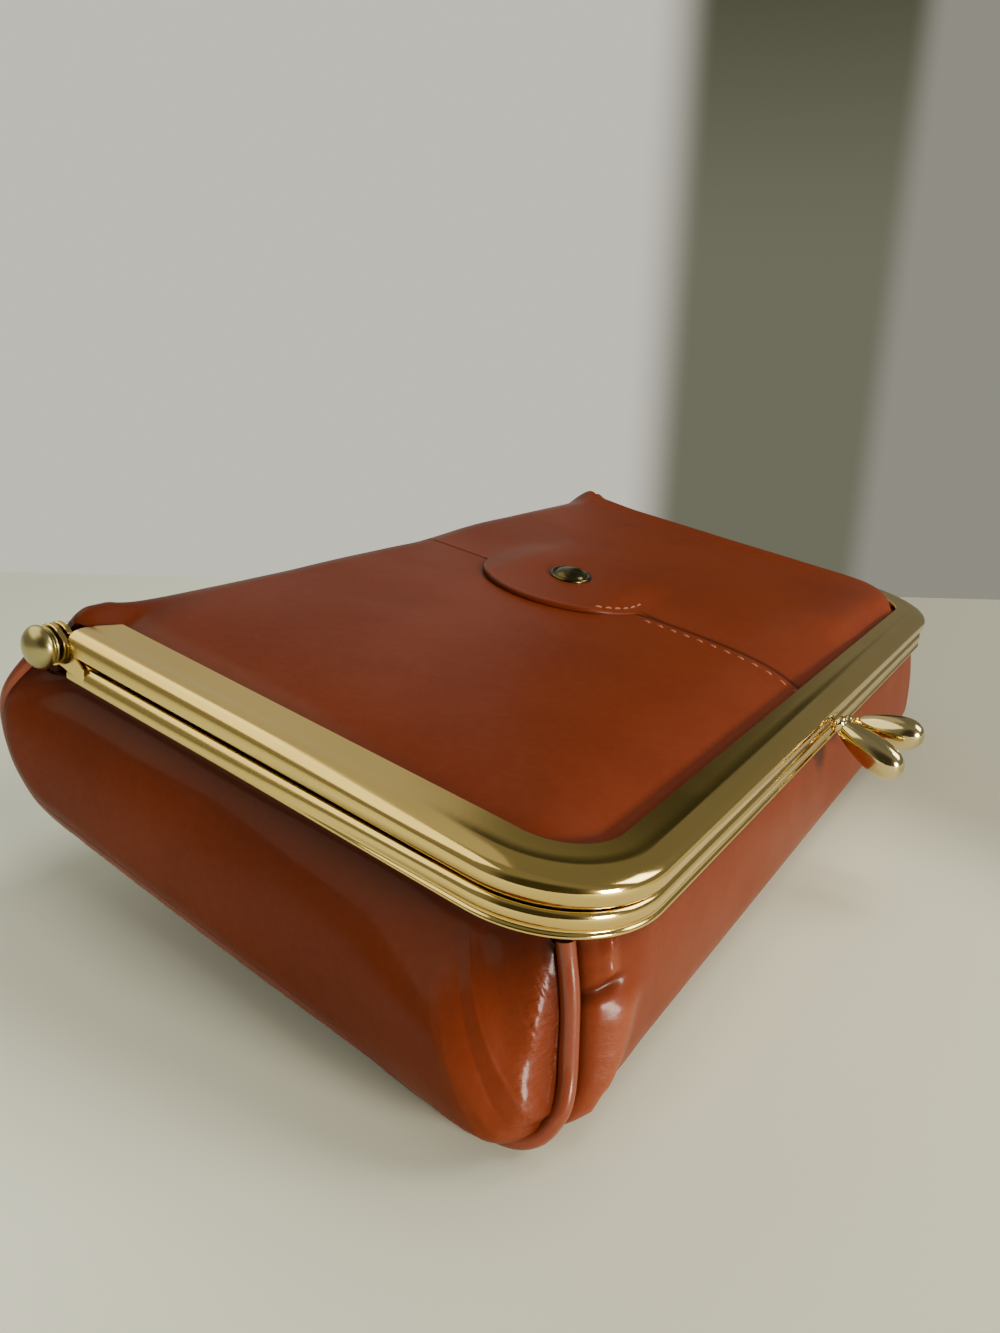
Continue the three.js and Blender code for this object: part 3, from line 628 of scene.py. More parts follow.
def back_line(_flange, closing):
    """Lower half's outer face and lining, as inset and height; its rolled lip fades out along the arms."""
    low, top = BACK_BOTTOM, BACK_TOP
    lipped = [(-0.12, low), (-0.2, low + 0.2), (-0.12, low + 0.45), (0.16, low + 0.7), (0.22, low + 0.95),
              (0.07, low + 1.45), (0.0, top - 1.3), (0.12, top - 0.75), (0.42, top - 0.3),
              (0.85, top - 0.06), (1.4, top)]
    plain = [(0.2, low), (0.08, low + 0.2), (0.02, low + 0.45), (0.0, low + 0.75), (0.02, low + 1.1),
             (0.1, low + 1.5), (0.24, top - 1.5), (0.48, top - 1.05), (0.8, top - 0.65), (1.15, top - 0.42),
             (1.6, top - 0.3)]
    outer = mix(np.array(plain), np.array(lipped), closing / RIM_CLOSING)
    inner = [(CHANNEL_WIDTH - 0.9, top), (CHANNEL_WIDTH - 0.3, top - 0.2), (CHANNEL_WIDTH, top - 0.8),
             (CHANNEL_WIDTH, low)]
    return join([spline(outer, 3), spline(inner, 3)])


def swept_rings(shape, line_at):
    """Sweeps a half's section along the rim, and marks the flange and the arms as satin."""
    rings, satin = [], []
    for x, v, in_x, in_v, flange in rim_stations():
        line = bent_sheet(line_at(flange, RIM_CLOSING * fade(v, *CLOSING_FADES)))
        rings.append(from_frame(x + in_x * line[:, 0], v + in_v * line[:, 0], line[:, 1]))
        flat = smooth(line[:, 0], FLAT_INSET - 1.0, FLAT_INSET)
        off_slot = smooth(np.abs(line[:, 1] - BACK_TOP), *ARM_SATIN.off_slot)
        satin.append(np.maximum(flat, ARM_SATIN.share * off_slot * smooth(v, *ARM_SATIN.along)))
    rings, satin = np.array(rings), np.array(satin)
    shape.rings(rings, np.stack([satin, 0 * satin], -1))


def hinge_plate(shape, x, length, low, high):
    """Flat tongue with a round eye on the hinge axis."""
    turn = np.linspace(-EYE_TURN, EYE_TURN, 28)
    eye = np.stack([HINGE_V + EYE_RADIUS * np.cos(turn), HINGE_W + EYE_RADIUS * np.sin(turn)], -1)
    root = np.array([[HINGE_V - length, high], [HINGE_V - length, low]])
    outline = join([eye, root])
    middle = outline.mean(axis=0)
    rings = []
    for share, inset in PLATE_EDGE:
        line = outline + inset * unit(middle - outline)
        rings.append(from_frame(x + share * SHEET_METAL, line[:, 0], line[:, 1]))
    shape.rings(np.array(rings))


def frame_half(half, line_at):
    shape = Shape()
    swept_rings(shape, line_at)
    inner = HALF_WIDTH - TONGUE_INSET[half] - SHEET_METAL
    for x in (-inner - SHEET_METAL, inner):
        hinge_plate(shape, x, ARM_END + TONGUE_ROOT[half], *TONGUE_SPAN[half])
    shape.build(f"{half}_frame", BRASS_PAINT, [f"frame_{half}"], "sheet")


def hinge_rivet(side):
    """Turned from points of radius and distance out from the arm."""
    inner = [(0, -3.2), (1.9, -3.2), (2.2, -3.0), (2.2, -2.7), (1.9, -2.5), (1.2, -2.45), (1.2, 0.28)]
    collars = [(2.5, 0.3), (2.86, 0.34), (2.96, 0.5), (2.86, 0.68), (2.4, 0.76), (2.4, 0.82), (2.9, 0.9),
               (3.1, 1.04), (3.0, 1.18), (2.5, 1.26), (2.46, 1.32)]
    head = [(3.1, 1.36), (3.38, 1.46), (3.46, 1.75), (3.38, 2.2), (3.05, 2.75), (2.4, 3.3), (1.5, 3.7),
            (0.6, 3.92), (0, 3.95)]
    profile = join([np.array(inner, float), spline(collars, 3), spline(head, 4)])
    root = from_frame(side * HALF_WIDTH, HINGE_V, HINGE_W)
    shape = Shape()
    shape.lathe(profile, root, (side, 0, 0), UP_SLOPE, OFF_FLANGE)
    name = SIDE_NAME[side]
    shape.build(f"rivet_{name}", RIVET_PAINT, [f"hinge_rivet_{name}"], "turned")


def clasp_drop(half):
    """Turned from points of radius and distance out from the rim."""
    pin = [(0, -0.9), (0.6, -0.9), (0.6, 0.6)]
    pear = [(0.75, 0.62), (1.3, 0.85), (1.62, 1.4), (1.5, 1.9), (1.28, 2.3), (1.52, 2.9), (2.0, 4.2),
            (2.42, 5.7), (2.75, 7.4), (2.94, 9.0), (3.0, 10.6), (2.86, 12.0), (2.4, 13.2), (1.6, 14.1),
            (0.8, 14.5), (0, 14.6)]
    profile = join([np.array(pin, float), spline(pear, 4)])
    dip = math.radians(DROP_ANGLES[half])
    top = 0 if half == "front" else BACK_TOP
    root = from_frame(DROP_X[half], 0, top - RIM_HEIGHT * DROP_ROOT[half])
    along = frame_axes((0, -math.cos(dip), -math.sin(dip)))
    across = frame_axes((0, math.sin(dip), -math.cos(dip)))
    shape = Shape()
    shape.lathe(profile, root, along, ALONG_BAR, across)
    shape.build(f"drop_{half}", DROP_PAINT, [f"clasp_drop_{half}"], "turned")


# Front face

def inside_flange(x, y):
    side = FLANGE_X - np.abs(x)
    fore = y - BAR_Y - BAR_FLANGE
    radius = CORNER_RADIUS - (ARM_FLANGE + BAR_FLANGE) / 2 + CORNER_EASE
    corner = radius - np.hypot(radius - side, radius - fore)
    return np.where((side > radius) | (fore > radius), np.minimum(side, fore), corner)


def edge_share(x, y, reach):
    """1 beside the flange, falling towards 0 over the reach."""
    far_corner = smooth(x, *FAR_CORNER.x) * fade(y, *FAR_CORNER.y)
    margin = mix(*FACE_MARGIN, far_corner)
    return np.exp(-np.maximum(inside_flange(x, y) - margin, 0) / reach)


def face_half(y):
    edge = FLANGE_X + TUCK
    radius = CORNER_RADIUS - BAR_FLANGE + TUCK
    back = np.maximum(BAR_Y + CORNER_RADIUS - y, 0)
    round_half = HALF_WIDTH - CORNER_RADIUS + np.sqrt(np.maximum(radius ** 2 - back ** 2, 0))
    return np.minimum(edge, round_half)


def face_lift(x, y, row_y):
    """Height of the face above the flange's plane; row_y tells the fold's rows from the face's."""
    crown = mix(*CROWN, smooth(x, *CROWN_RAMP))
    low = mix(FACE_LOW, FOLD_EDGE, smooth(row_y, *FOLD_RISES))
    reach = mix(*REACH, smooth(x, *REACH_RAMP))
    share = edge_share(x, y, reach)
    waves = (WAVES.slow * SLOW_WAVES(x, y) + WAVES.soft * SOFT_WAVES(x, y)) * (1 - share) ** 2
    ridge = FAR_RIDGE.height * bell(FLANGE_X - x, *FAR_RIDGE.inset)
    hump = FAR_HUMP.height * bell(x, *FAR_HUMP.x)
    folds = ridge * smooth(y, *FAR_RIDGE.starts) + hump * smooth(y, *FAR_HUMP.starts)
    return mix(crown, low, share) + waves + folds


def flange_plane(y):
    return BAR_HEIGHT + (y - BAR_Y) * math.tan(TILT)


def face_top(x, y):
    return flange_plane(y) + face_lift(x, y, y)


def beside_seam(x, y):
    """The plain half lies over the seam's far side near the bar, and level with it near the fold."""
    near = np.exp(np.minimum(x, 0) / SEAM_STEP.reach)
    return near * SEAM_STEP.height * fade(y, *SEAM_STEP.fades)


# Leather wrap, in rows of points: c runs from -1 at the left edge to 1 at the right

def back_height(y, c):
    spread = c * c
    start = mix(*BACK_LIFTS_AT, spread)
    along = np.maximum(y - start, 0) / (FOLD_Y - start)
    return mix(*BACK_RISE, spread) * along ** mix(*BACK_CURVE, spread)


def face_rows(y, c):
    half = mix(face_half(y), FLANGE_X + 2 * TUCK, smooth(y, *FOLD_WIDENS))
    x = c * half
    return place(x, y, face_top(x, y))


def fold_rows(angle, c):
    turn = np.radians(angle)
    end = math.radians(FOLD_END)
    tucked = 1 - FOLD_TUCK * np.abs(c) ** 3 * smooth(angle, *FOLD_TUCK_TURN)
    y = FOLD_Y + FOLD_REACH * tucked * np.cos(turn)
    half = mix(FLANGE_X + 2 * TUCK, BODY_HALF, smooth(-angle, *FOLD_SIDE_TURN))
    half = mix(face_half(FOLD_Y), half, smooth(y, *FOLD_WIDENS))
    x = c * half
    top = flange_plane(FOLD_Y) + face_lift(x, FOLD_Y, y)
    end_z = back_height(FOLD_Y + FOLD_REACH * math.cos(end), c)
    share = (1 - math.sin(end)) / 2
    bottom = (end_z - top * (1 - share)) / share
    ear_share = edge_share(x, FOLD_Y, np.where(x > 0, *EAR_REACH))
    ear = np.where(x > 0, *EAR_LIFT) * np.maximum(np.sin(turn), 0) ** 3 * ear_share * smooth(y, *EAR_STARTS)
    return place(x, y, (top + bottom) / 2 + (top - bottom) / 2 * np.sin(turn) + ear)


def ear_curl(y, turn, from_edge):
    """How far the fold's upper corners curl down at their edge."""
    ear = smooth(y, *EAR_CURL.starts) * smooth(turn, *EAR_CURL.turn)
    return ear * EAR_CURL.depth * (1 - quarter(from_edge, EAR_CURL.reach))


def back_rows(y, c):
    z = back_height(y, c)
    return place(c * BODY_HALF + toe_spread(y, z, c), y, z)


def corner_back(x):
    radius = CORNER_RADIUS - GRIP_INSET
    past = np.minimum(np.maximum(np.abs(x) - HALF_WIDTH + CORNER_RADIUS, 0), radius)
    return radius - np.sqrt(radius ** 2 - past ** 2)


MOUTH = from_frame(0.0, GRIP_INSET, MOUTH_W)


def wall_half(z):
    return mix(BODY_HALF, WALL_TOP_HALF, np.clip(z / MOUTH[2], 0, 1) ** WALL_SPREAD)


def beside_toe(c):
    return smooth(np.abs(c), *TOE_RAMPS.side)


def toe_spread(y, z, c):
    """The wrap's lower corners flare sideways with the seam."""
    low = smooth(-y, *TOE_RAMPS.forward) * fade(z, *TOE_RAMPS.up)
    return np.sign(c) * TOE_SIDE * beside_toe(c) * low


def wall_rows(y, z, c):
    hem = np.sign(c) * np.maximum(np.abs(c) - 1, 0) * smooth(z, *HEM_RAMP)
    x = c * wall_half(z) + WALL_LAP * hem + toe_spread(y, z, c)
    up = z / MOUTH[2]
    beside = smooth(np.abs(x), *CORNER_PUFF_X)
    depth = np.where(x < 0, *CORNER_PUFF)
    puff = depth * beside * 4 * up * (1 - up) + TOE_OUT.wrap * bell(z, *TOE_Z) * beside_toe(c)
    return place(x, y + corner_back(x) * up - puff, z)


def grip_rows(w, c):
    x = c * WALL_TOP_HALF
    return from_frame(x, GRIP_INSET + corner_back(x), w)


FACE_YS = np.linspace(-41.8, FACE_END, 92)
FOLD_TURNS = np.linspace(88.0, FOLD_END, 46)
BACK_YS = np.linspace(45.0, FOOT_Y, 40)
FOOT_TURNS = np.linspace(-96.0, -180.0, 15)
WALL_STEPS = np.linspace(0.04, 0.97, 34)
ROWS_FACE = len(FACE_YS)
ROWS_FOLD = ROWS_FACE + len(FOLD_TURNS)
ROWS_BACK = ROWS_FOLD + len(BACK_YS)
SEAM_FIRST = ROWS_FACE + int(np.argmin(np.abs(FOLD_TURNS - SEAM_TURN)))


def wrap_grid(c):
    """Outer face of the wrap: its rows run over the face, fold, back and wall into the channel."""
    c = np.atleast_1d(c)[None, :]
    turn = np.radians(FOOT_TURNS)[:, None]
    foot = wall_rows(FOOT_Y + FOOT_RADIUS * np.cos(turn), FOOT_RADIUS * (1 + np.sin(turn)), c)
    t = WALL_STEPS[:, None]
    wall_y = mix(FOOT_Y - FOOT_RADIUS, MOUTH[1], t) - WALL_BULGE * np.sin(math.pi * t)
    wall = wall_rows(wall_y, mix(FOOT_RADIUS, MOUTH[2], t), c)
    grip = grip_rows(np.linspace(MOUTH_W, GRIP_W, GRIP_ROWS)[:, None], c)
    return join([
        face_rows(FACE_YS[:, None], c), fold_rows(FOLD_TURNS[:, None], c), back_rows(BACK_YS[:, None], c),
        foot, wall, grip])


def wall_detail(x, z):
    """Puffed roll at the wall's ends, with the crease and pleat above it: lift, and two marks, the roll's
    with the pleat's for crinkles, wrinkles and painted sheen, and the crease's for painted shade.
    """
    strength = np.where(x < 0, 1.0, WALL_FAR_SHARE)
    s = wall_half(z) - np.abs(x)
    inset, width = WALL_ROLL.inset + WALL_ROLL.leans * z, WALL_ROLL.width + WALL_ROLL.widens * z
    roll = bell(s, inset, width) * smooth(z, *WALL_ROLL.foot) * fade(z, *WALL_ROLL.top)
    crease = bell(z, WALL_CREASE.z + WALL_CREASE.leans * s, WALL_CREASE.width)
    crease = crease * fade(s, *WALL_CREASE.inset) * smooth(z, *WALL_CREASE.above)
    pleat = bell(s, *WALL_PLEAT.inset) * smooth(z, *WALL_PLEAT.above)
    lift = WALL_ROLL.height * roll + WALL_PLEAT.height * pleat - WALL_CREASE.depth * crease
    return strength * lift, strength * (roll + WALL_PLEAT.mark * pleat), strength * crease


def wrap_columns():
    """Columns of the wrap, finer at the flap's seam and the ends, with a hem past each edge."""
    seam = np.array([
        0.0012, 0.0020, 0.0027, 0.0034, 0.0041, 0.0048, 0.0056, 0.007, 0.010, 0.015, 0.022, 0.032])
    runs = ((0.045, 0.78, 32), (0.79, 0.97, 34), (0.9745, 1.011, 13))
    side = join([np.linspace(*run) for run in runs])
    return join([-side[::-1], -seam[::-1], [0.0], seam, side])


def body_wrap():
    c = wrap_columns()
    base = wrap_grid(c)
    x, y, z = base[..., 0], base[..., 1], base[..., 2]
    count = len(base)
    row = np.arange(count)[:, None]
    turns = (np.full(ROWS_FACE, 90.0), FOLD_TURNS, np.full(count - ROWS_FOLD, -90.0))
    turn = join(turns)[:, None]
    front, wall, gripped = row < ROWS_FOLD, row >= ROWS_BACK, row >= count - GRIP_ROWS
    inside = wall & ~gripped
    covered = smooth(turn, *FLAP_COVERS)
    lift = np.where(front, beside_seam(x, y) * (x < SEAM_STEP.end_x) * covered, 0)
    lift -= np.where(front, FLAP_RECESS * smooth(x, *RECESS_STARTS) * covered, 0)
    detail, roll, crease = wall_detail(x, z)
    crinkles = CRINKLES.height * roll * CRINKLE(CRINKLES.stretch * x, z)
    lift += np.where(inside, detail + crinkles, 0)
    half = np.abs(base[:, np.argmin(np.abs(c - 1.0)), 0])[:, None]
    from_edge = half - np.abs(x)
    sewn = (row >= SEAM_FIRST) & ~gripped
    up = np.where(wall, smooth(z, *CURL_RAMP), 0.0)
    curl, reach, start = (mix(*pair, up) for pair in (EDGE_CURL, CURL_REACH, CURL_START))
    lift -= np.where(sewn, curl * (1 - quarter(from_edge + start, reach)), 0)
    lift -= ear_curl(y, turn, from_edge + EAR_CURL_START.wrap)
    # Painted shade near the left ear by the hinge, in the wall's crease and on the rows under the frame;
    # painted sheen on the wall's roll.
    hinge = smooth(-x, *PAINTED_HINGE_SHADE.x) * smooth(y, *PAINTED_HINGE_SHADE.y)
    creased = np.clip(roll, 0, 1) * WRAP_MARKS.creased
    shade = np.clip(WRAP_MARKS.pale_roll * roll - WRAP_MARKS.dark_crease * crease, -1, 1)
    shade = np.where(inside, shade, 0) - np.where(front, WRAP_MARKS.dark_hinge * hinge, 0)
    shade -= WRAP_MARKS.dark_top * smooth(row, count - SHADED_ROWS, count - GRIP_ROWS)
    outer = base + outward(base) * lift[..., None]
    outer[..., 2] = np.maximum(outer[..., 2], 0)
    marks = np.stack([np.where(inside, creased, 0.0), shade], -1)
    leather_piece("wrap", "body_wrap", outer, outer - LEATHER * outward(outer), marks)


# Flap with its tab

def tab_edge(y):
    reach = np.sqrt(np.maximum(TAB_RADIUS ** 2 - (y - TAB_Y) ** 2, 0))
    return np.minimum(FLAP_EDGE_X, TAB_X - reach)


def beside_tab(y):
    return fade(np.abs(y - TAB_Y) - TAB_RADIUS, *TAB_FADES.beside)


def flap_rise(x, y):
    tab = TAB_RISE * beside_tab(y) * fade(x, *TAB_FADES.x)
    dip = FLAP_DIP.depth * fade(x, *FLAP_DIP.x) * fade(y, *FLAP_DIP.y)
    snap = SNAP_DIMPLE.depth * bell(np.hypot(x - TAB_X, y - TAB_Y), 0, SNAP_DIMPLE.width)
    return tab - dip - snap


def flap_top(x, y):
    return face_top(x, y) + flap_rise(x, y)


FLAP_NEAR = np.array([
    0, 0.06, 0.15, 0.28, 0.45, 0.7, 1.1, 1.7, 2.5, 3.6, 5.0, 7.0, 9.5, 12.5, 16.0, 20.0, 24.0])
FLAP_FAR = join([np.linspace(0.34, 0.86, 26), np.linspace(0.87, 1.0, 18)])


def flap_row(rows_at, at, left, rise_y, rise_share):
    """One row of the flap's top, and each point's distance from the edge on the left."""
    half = float(rows_at(np.array([[at]]), np.array([[1.0]]))[0, 0, 0])
    columns = join([(left + FLAP_NEAR) / half, FLAP_FAR])
    points = rows_at(np.array([[at]]), columns[None, :])[0]
    points[:, 2] += flap_rise(points[:, 0], rise_y) * rise_share
    return points, points[:, 0] - left


def front_flap():
    turns = np.linspace(-TAB_TURN, TAB_TURN, 56)
    tab_ys = TAB_Y + TAB_RADIUS * np.sin(np.radians(turns))
    before = np.linspace(FACE_YS[0], tab_ys[0], 30)[:-1]
    after = np.linspace(tab_ys[-1], FACE_END, 16)[1:]
    ys = join([before, tab_ys, after])
    angles = FOLD_TURNS[FOLD_TURNS >= FLAP_END]
    rows = [flap_row(face_rows, y, float(tab_edge(y)), y, 1.0) for y in ys]
    for angle in angles:
        rise_share = max(math.sin(math.radians(angle)), 0)
        rows.append(flap_row(fold_rows, angle, FLAP_EDGE_X, FOLD_Y, rise_share))
    base, edge = (np.array(part) for part in zip(*rows))
    normal = outward(base)
    turn = join([np.full(len(ys), 90.0), angles])[:, None]
    from_end = base[:, -1:, 0] - base[..., 0]
    base = base - normal * ear_curl(base[..., 1], turn, from_end + EAR_CURL_START.flap)[..., None]
    y = base[..., 1]
    turned = FLAP_ROUND.depth * (1 - quarter(edge, FLAP_ROUND.reach))
    full = np.maximum(beside_tab(y), smooth(edge, *FLAP_SKIVED.over))
    thick = np.maximum(FLAP_LEATHER * mix(FLAP_SKIVED.share, 1.0, full), turned + FLAP_SKIVED.least)
    # Painted shadow along the edge, a paler line inside it, and painted shadow by the seam towards the bar.
    lines = FLAP_MARKS.pale_line * bell(edge, *PALE_LINE) - FLAP_MARKS.dark_edge * bell(edge, *PAINTED_EDGE_SHADOW)
    shade = lines - FLAP_MARKS.dark_seam * fade(y, *FLAP_SEAM_SHADOW.y) * fade(edge, *FLAP_SEAM_SHADOW.x)
    outer, inner = (base - normal * depth[..., None] for depth in (turned, thick))
    leather_piece("flap", "front_flap", outer, inner, np.stack([0 * shade, shade], -1))


# Seams, gussets and piping

def seam_line(side, depth, fractions):
    """Line sunk that deep behind the wrap's edge, and the inward directions along it."""
    edge = wrap_grid(np.array([float(side)]))[:, 0]
    step = np.gradient(edge, axis=0)
    inward = unit(np.stack([0 * step[:, 0], step[:, 2], -step[:, 1]], -1))
    on_wall = np.arange(len(edge)) >= ROWS_BACK
    up = np.where(on_wall, smooth(edge[:, 2], *HEM_RAMP), 0.0)
    line = edge + (depth + WALL_SINK * up)[:, None] * inward
    line[:, 0] += side * (SEAM_OUT + WALL_OUT * up)
    toe = (TOE_OUT.seam - TOE_OUT.wrap) * bell(edge[:, 2], *TOE_Z)
    line[:, 1] -= np.where(on_wall, toe, 0.0)
    sewn = slice(SEAM_FIRST, 1 - GRIP_ROWS)
    return [resample(line[sewn], values[sewn], fractions) for values in (line, inward)]


def piping(side):
    path, _ = seam_line(side, PIPING_INSET, PIPING_TOP * np.linspace(0, 1, 190))
    path = join([path, path[-1:] + PIPING_END * unit(path[-1:] - path[-2:-1])])
    for _ in range(3):
        path[1:-1] = (path[:-2] + 2 * path[1:-1] + path[2:]) / 4
    along = unit(np.gradient(path, axis=0))
    across = unit(np.cross(along, ALONG_BAR))
    waves = SOFT_WAVES(path[:, 1] * PIPING_SWELL.pace, path[:, 2] * PIPING_SWELL.pace)
    radius = PIPING_RADIUS * (1 + PIPING_SWELL.share * waves)
    rings = hoops(path, radius, across, np.cross(across, along), segments=20)
    name = SIDE_NAME[side]
    shape = Shape()
    shape.rings(rings, np.full((*rings.shape[:2], 2), (PIPING_CREASED, 0.0)))
    shape.build(f"piped_edge_{name}", PIPING_PAINT, [f"piping_{name}"], "leather")


GUSSET_FINE = join([np.linspace(0, 0.78, 130)[:-1], np.linspace(0.78, 1, 140)])


def gusset_top(side):
    """Upper edge of a gusset: its outer face at the channel's mouth and inside the channel."""
    arm = GRIP_START - CORNER_RADIUS
    radius = CORNER_RADIUS - GRIP_INSET
    run = np.linspace(0, 1, GUSSET_KEYS - len(HINGE_NOTCH)) * (arm + radius * GRIP_CORNER)
    turn = np.maximum(run - arm, 0) / radius
    x = HALF_WIDTH - CORNER_RADIUS + radius * np.cos(turn)
    v = np.where(run < arm, GRIP_START - run, CORNER_RADIUS - radius * np.sin(turn))
    notch_x = side * (HALF_WIDTH - GRIP_INSET)
    notch = np.array([from_frame(notch_x, HINGE_V + dv, HINGE_W + dw) for dv, dw in HINGE_NOTCH])
    mouth = join([notch, from_frame(side * x, v, MOUTH_W)])
    grip = join([notch + [0, 0, NOTCH_GRIP], from_frame(side * x, v, GRIP_W)])
    keys = np.linspace(0, 1, GUSSET_KEYS)
    lines = ([np.interp(GUSSET_FINE, keys, line[:, k]) for k in range(3)] for line in (mouth, grip))
    return [np.stack(line, -1) for line in lines]


def nearest(points, line):
    return np.min([np.linalg.norm(points - p, axis=-1) for p in line], axis=0)


def gusset(side):
    edge, inward = seam_line(side, GUSSET_DEPTH, PIPING_TOP * GUSSET_FINE)
    inward = unit(inward)
    edge[:, 0] += side * GUSSET_OUT
    mouth, grip = gusset_top(side)
    fine = np.linspace(0, FINE_SHARE, 38) ** FINE_POWER * FINE_SHARE ** (1 - FINE_POWER)
    t = join([fine, np.linspace(FINE_SHARE, 1, 40)[1:]])[None, :, None]
    base = mix(edge[:, None], mouth[:, None], t)
    y, z = base[..., 1], base[..., 2]
    from_seam, from_mouth = nearest(base, edge), nearest(base, mouth)
    along = GUSSET_FINE[:, None] * np.linalg.norm(np.diff(edge, axis=0), axis=1).sum()

    corner = smooth(y, *NEAR_CORNER)
    roll = mix(*ROLL, corner) * quarter(from_seam, mix(*ROLL_REACH, corner))
    pillow = mix(*PILLOW, smooth(y, *FILLS_AT)) * (1 - np.exp(-from_seam / PILLOW_REACH))
    rim = 1 - np.exp(-((from_mouth / TOP_EDGE.reach) ** TOP_EDGE.power))
    dip = TOP_DIP.depth * bell(from_mouth, *TOP_DIP.at)
    bulge = (roll + pillow) * rim - dip * smooth(from_seam, *TOP_DIP.off_seam)
    slack = smooth(from_seam, *SLACK) * smooth(from_mouth, *SLACK)
    bulge += DENTS * DENT(y, z) * slack
    bulge -= HOLLOW.depth * bell(y, *HOLLOW.y) * bell(z, *HOLLOW.z) * slack
    pleated = corner * bell(from_seam, *PLEATED.at) * smooth(from_mouth, *PLEATED.off_mouth)
    patchy = mix(PATCHY.least, 1.0, smooth(PATCHES(along, from_seam), *PATCHY.over))
    bulge += pleated * PLEATED.height * patchy * PLEATS(along, PLEATED.stretch * from_seam)
    outer = base.copy()
    outer[..., 0] += side * bulge
    swell = SEAM_SWELL.height * bell(from_seam, *SEAM_SWELL.at) * smooth(from_mouth, *SEAM_SWELL.off_mouth)
    outer -= (swell * fade(inward[:, 2:], *SEAM_SWELL.facing))[..., None] * inward[:, None]
    slot = mix(mouth[:, None], grip[:, None], np.array([0.5, 1.0])[None, :, None])
    outer = join([outer, slot], axis=1)

    steps = t.shape[1]
    marks = np.zeros((*outer.shape[:2], 2))
    marks[:, :steps, 0] = GUSSET_MARKS.creased * pleated
    # Painted sheen on the pleats; painted shade by the seam, under the frame and inside the slot.
    shade = GUSSET_MARKS.pale_pleats * pleated
    shade = shade - GUSSET_MARKS.dark_seam * np.exp(-from_seam / PAINTED_SEAM_SHADE_REACH)
    shade -= GUSSET_MARKS.dark_top * np.exp(-((from_mouth / PAINTED_TOP_SHADE.reach) ** PAINTED_TOP_SHADE.power))
    marks[:, :steps, 1] = np.clip(shade, -1, 1)
    marks[:, steps:, 1] = GUSSET_MARKS.slot
    normal = unit(np.cross(np.gradient(outer, axis=0), np.gradient(outer, axis=1)))
    facing = np.where(normal[..., :1] * side > 0, 1, -1)
    name = SIDE_NAME[side]
    leather_piece(f"end_{name}", f"gusset_{name}", outer, outer - LEATHER * facing * normal, marks)


# Snap and stitches

def snap_cap():
    """Turned from points of share of the radius and height."""
    rim = [(0.95, 0.0), (1.0, 0.14), (1.0, 0.36), (0.95, 0.68), (0.88, 0.76), (0.82, 0.58), (0.78, 0.5),
           (0.74, 0.62), (0.66, 0.95), (0.5, 1.35), (0.3, 1.6), (0.1, 1.7), (0.0, 1.71)]
    profile = join([[(0.0, 0.0)], spline(rim, 4) * np.array([SNAP_RADIUS, 1.0])])
    slope = math.atan((CROWN[1] - CROWN[0]) / SNAP_RUN)
    height = float(flap_top(np.array(TAB_X), np.array(TAB_Y)))
    root = np.array([TAB_X, TAB_Y, height - SNAP_SINK])
    first = math.cos(slope) * ALONG_BAR + math.sin(slope) * OFF_FLANGE
    shape = Shape()
    shape.lathe(profile, root, np.cross(first, UP_SLOPE), first, UP_SLOPE, segments=56)
    shape.build("snap_button", SNAP_PAINT, ["snap_cap"], "turned")


def stitch(shape, start, end):
    """One stitch of thread: a low arch whose ends dip into the leather."""
    t = np.linspace(0, 1, 9)
    arch = np.sin(math.pi * t) ** STITCH_ARCH.power * STITCH_ARCH.height - STITCH_ARCH.sunk
    path = mix(start, end, t[:, None]) + arch[:, None] * OFF_FLANGE
    along = unit(np.gradient(path, axis=0))
    across = unit(np.cross(along, OFF_FLANGE))
    radius = STITCH_RADIUS * mix(STITCH_TAPER.least, 1.0, np.sin(math.pi * t) ** STITCH_TAPER.power)
    shape.rings(hoops(path, radius, STITCH_FLAT * across, np.cross(across, along), 8))


def seam_point(along):
    x, y = np.array(SEAM_STITCH.x), np.array(SEAM_STITCH.y - along)
    return np.array([x, y, face_top(x, y) + beside_seam(x, y)])


def tab_point(along):
    radius = TAB_RADIUS - TAB_STITCH.inset
    turn = math.radians(TAB_STITCH.turn) - along / radius
    x, y = np.array(TAB_X + radius * math.cos(turn)), np.array(TAB_Y + radius * math.sin(turn))
    return np.array([x, y, flap_top(x, y)])


def stitches():
    shape = Shape()
    for run, point_at in ((SEAM_STITCH, seam_point), (TAB_STITCH, tab_point)):
        for k in range(run.count):
            stitch(shape, *(point_at(k * run.pitch + part) for part in (0.0, run.length)))
    shape.build("stitches", THREAD_PAINT, [], "leather")


frame_half("front", front_line)
frame_half("back", back_line)
for half in ("front", "back"):
    clasp_drop(half)
for side in (-1, 1):
    hinge_rivet(side)
    gusset(side)
    piping(side)
body_wrap()
front_flap()
snap_cap()
stitches()


# Floor and light, in metres

FLOOR_HALF = 1.2
FLOOR_SPAN = (-1.0, 0.385)  # from the camera
FLOOR_Z = -0.00005
FLOOR_PALE = ((0.62, 0.64, 0.50), (0.68, 0.695, 0.55))
# Painted light brightens the floor towards the camera's left, and painted shade darkens it towards the
# right.
FLOOR_PAINTED_LIGHT_AND_SHADE = (  # direction, the distances over which it starts, colour
    ((-0.546, 0.838, 0.0), (0.0, 0.1), (0.88, 0.93, 0.76)),
    ((0.9, -0.4, 0.0), (0.02, 0.065), (0.365, 0.37, 0.29)))

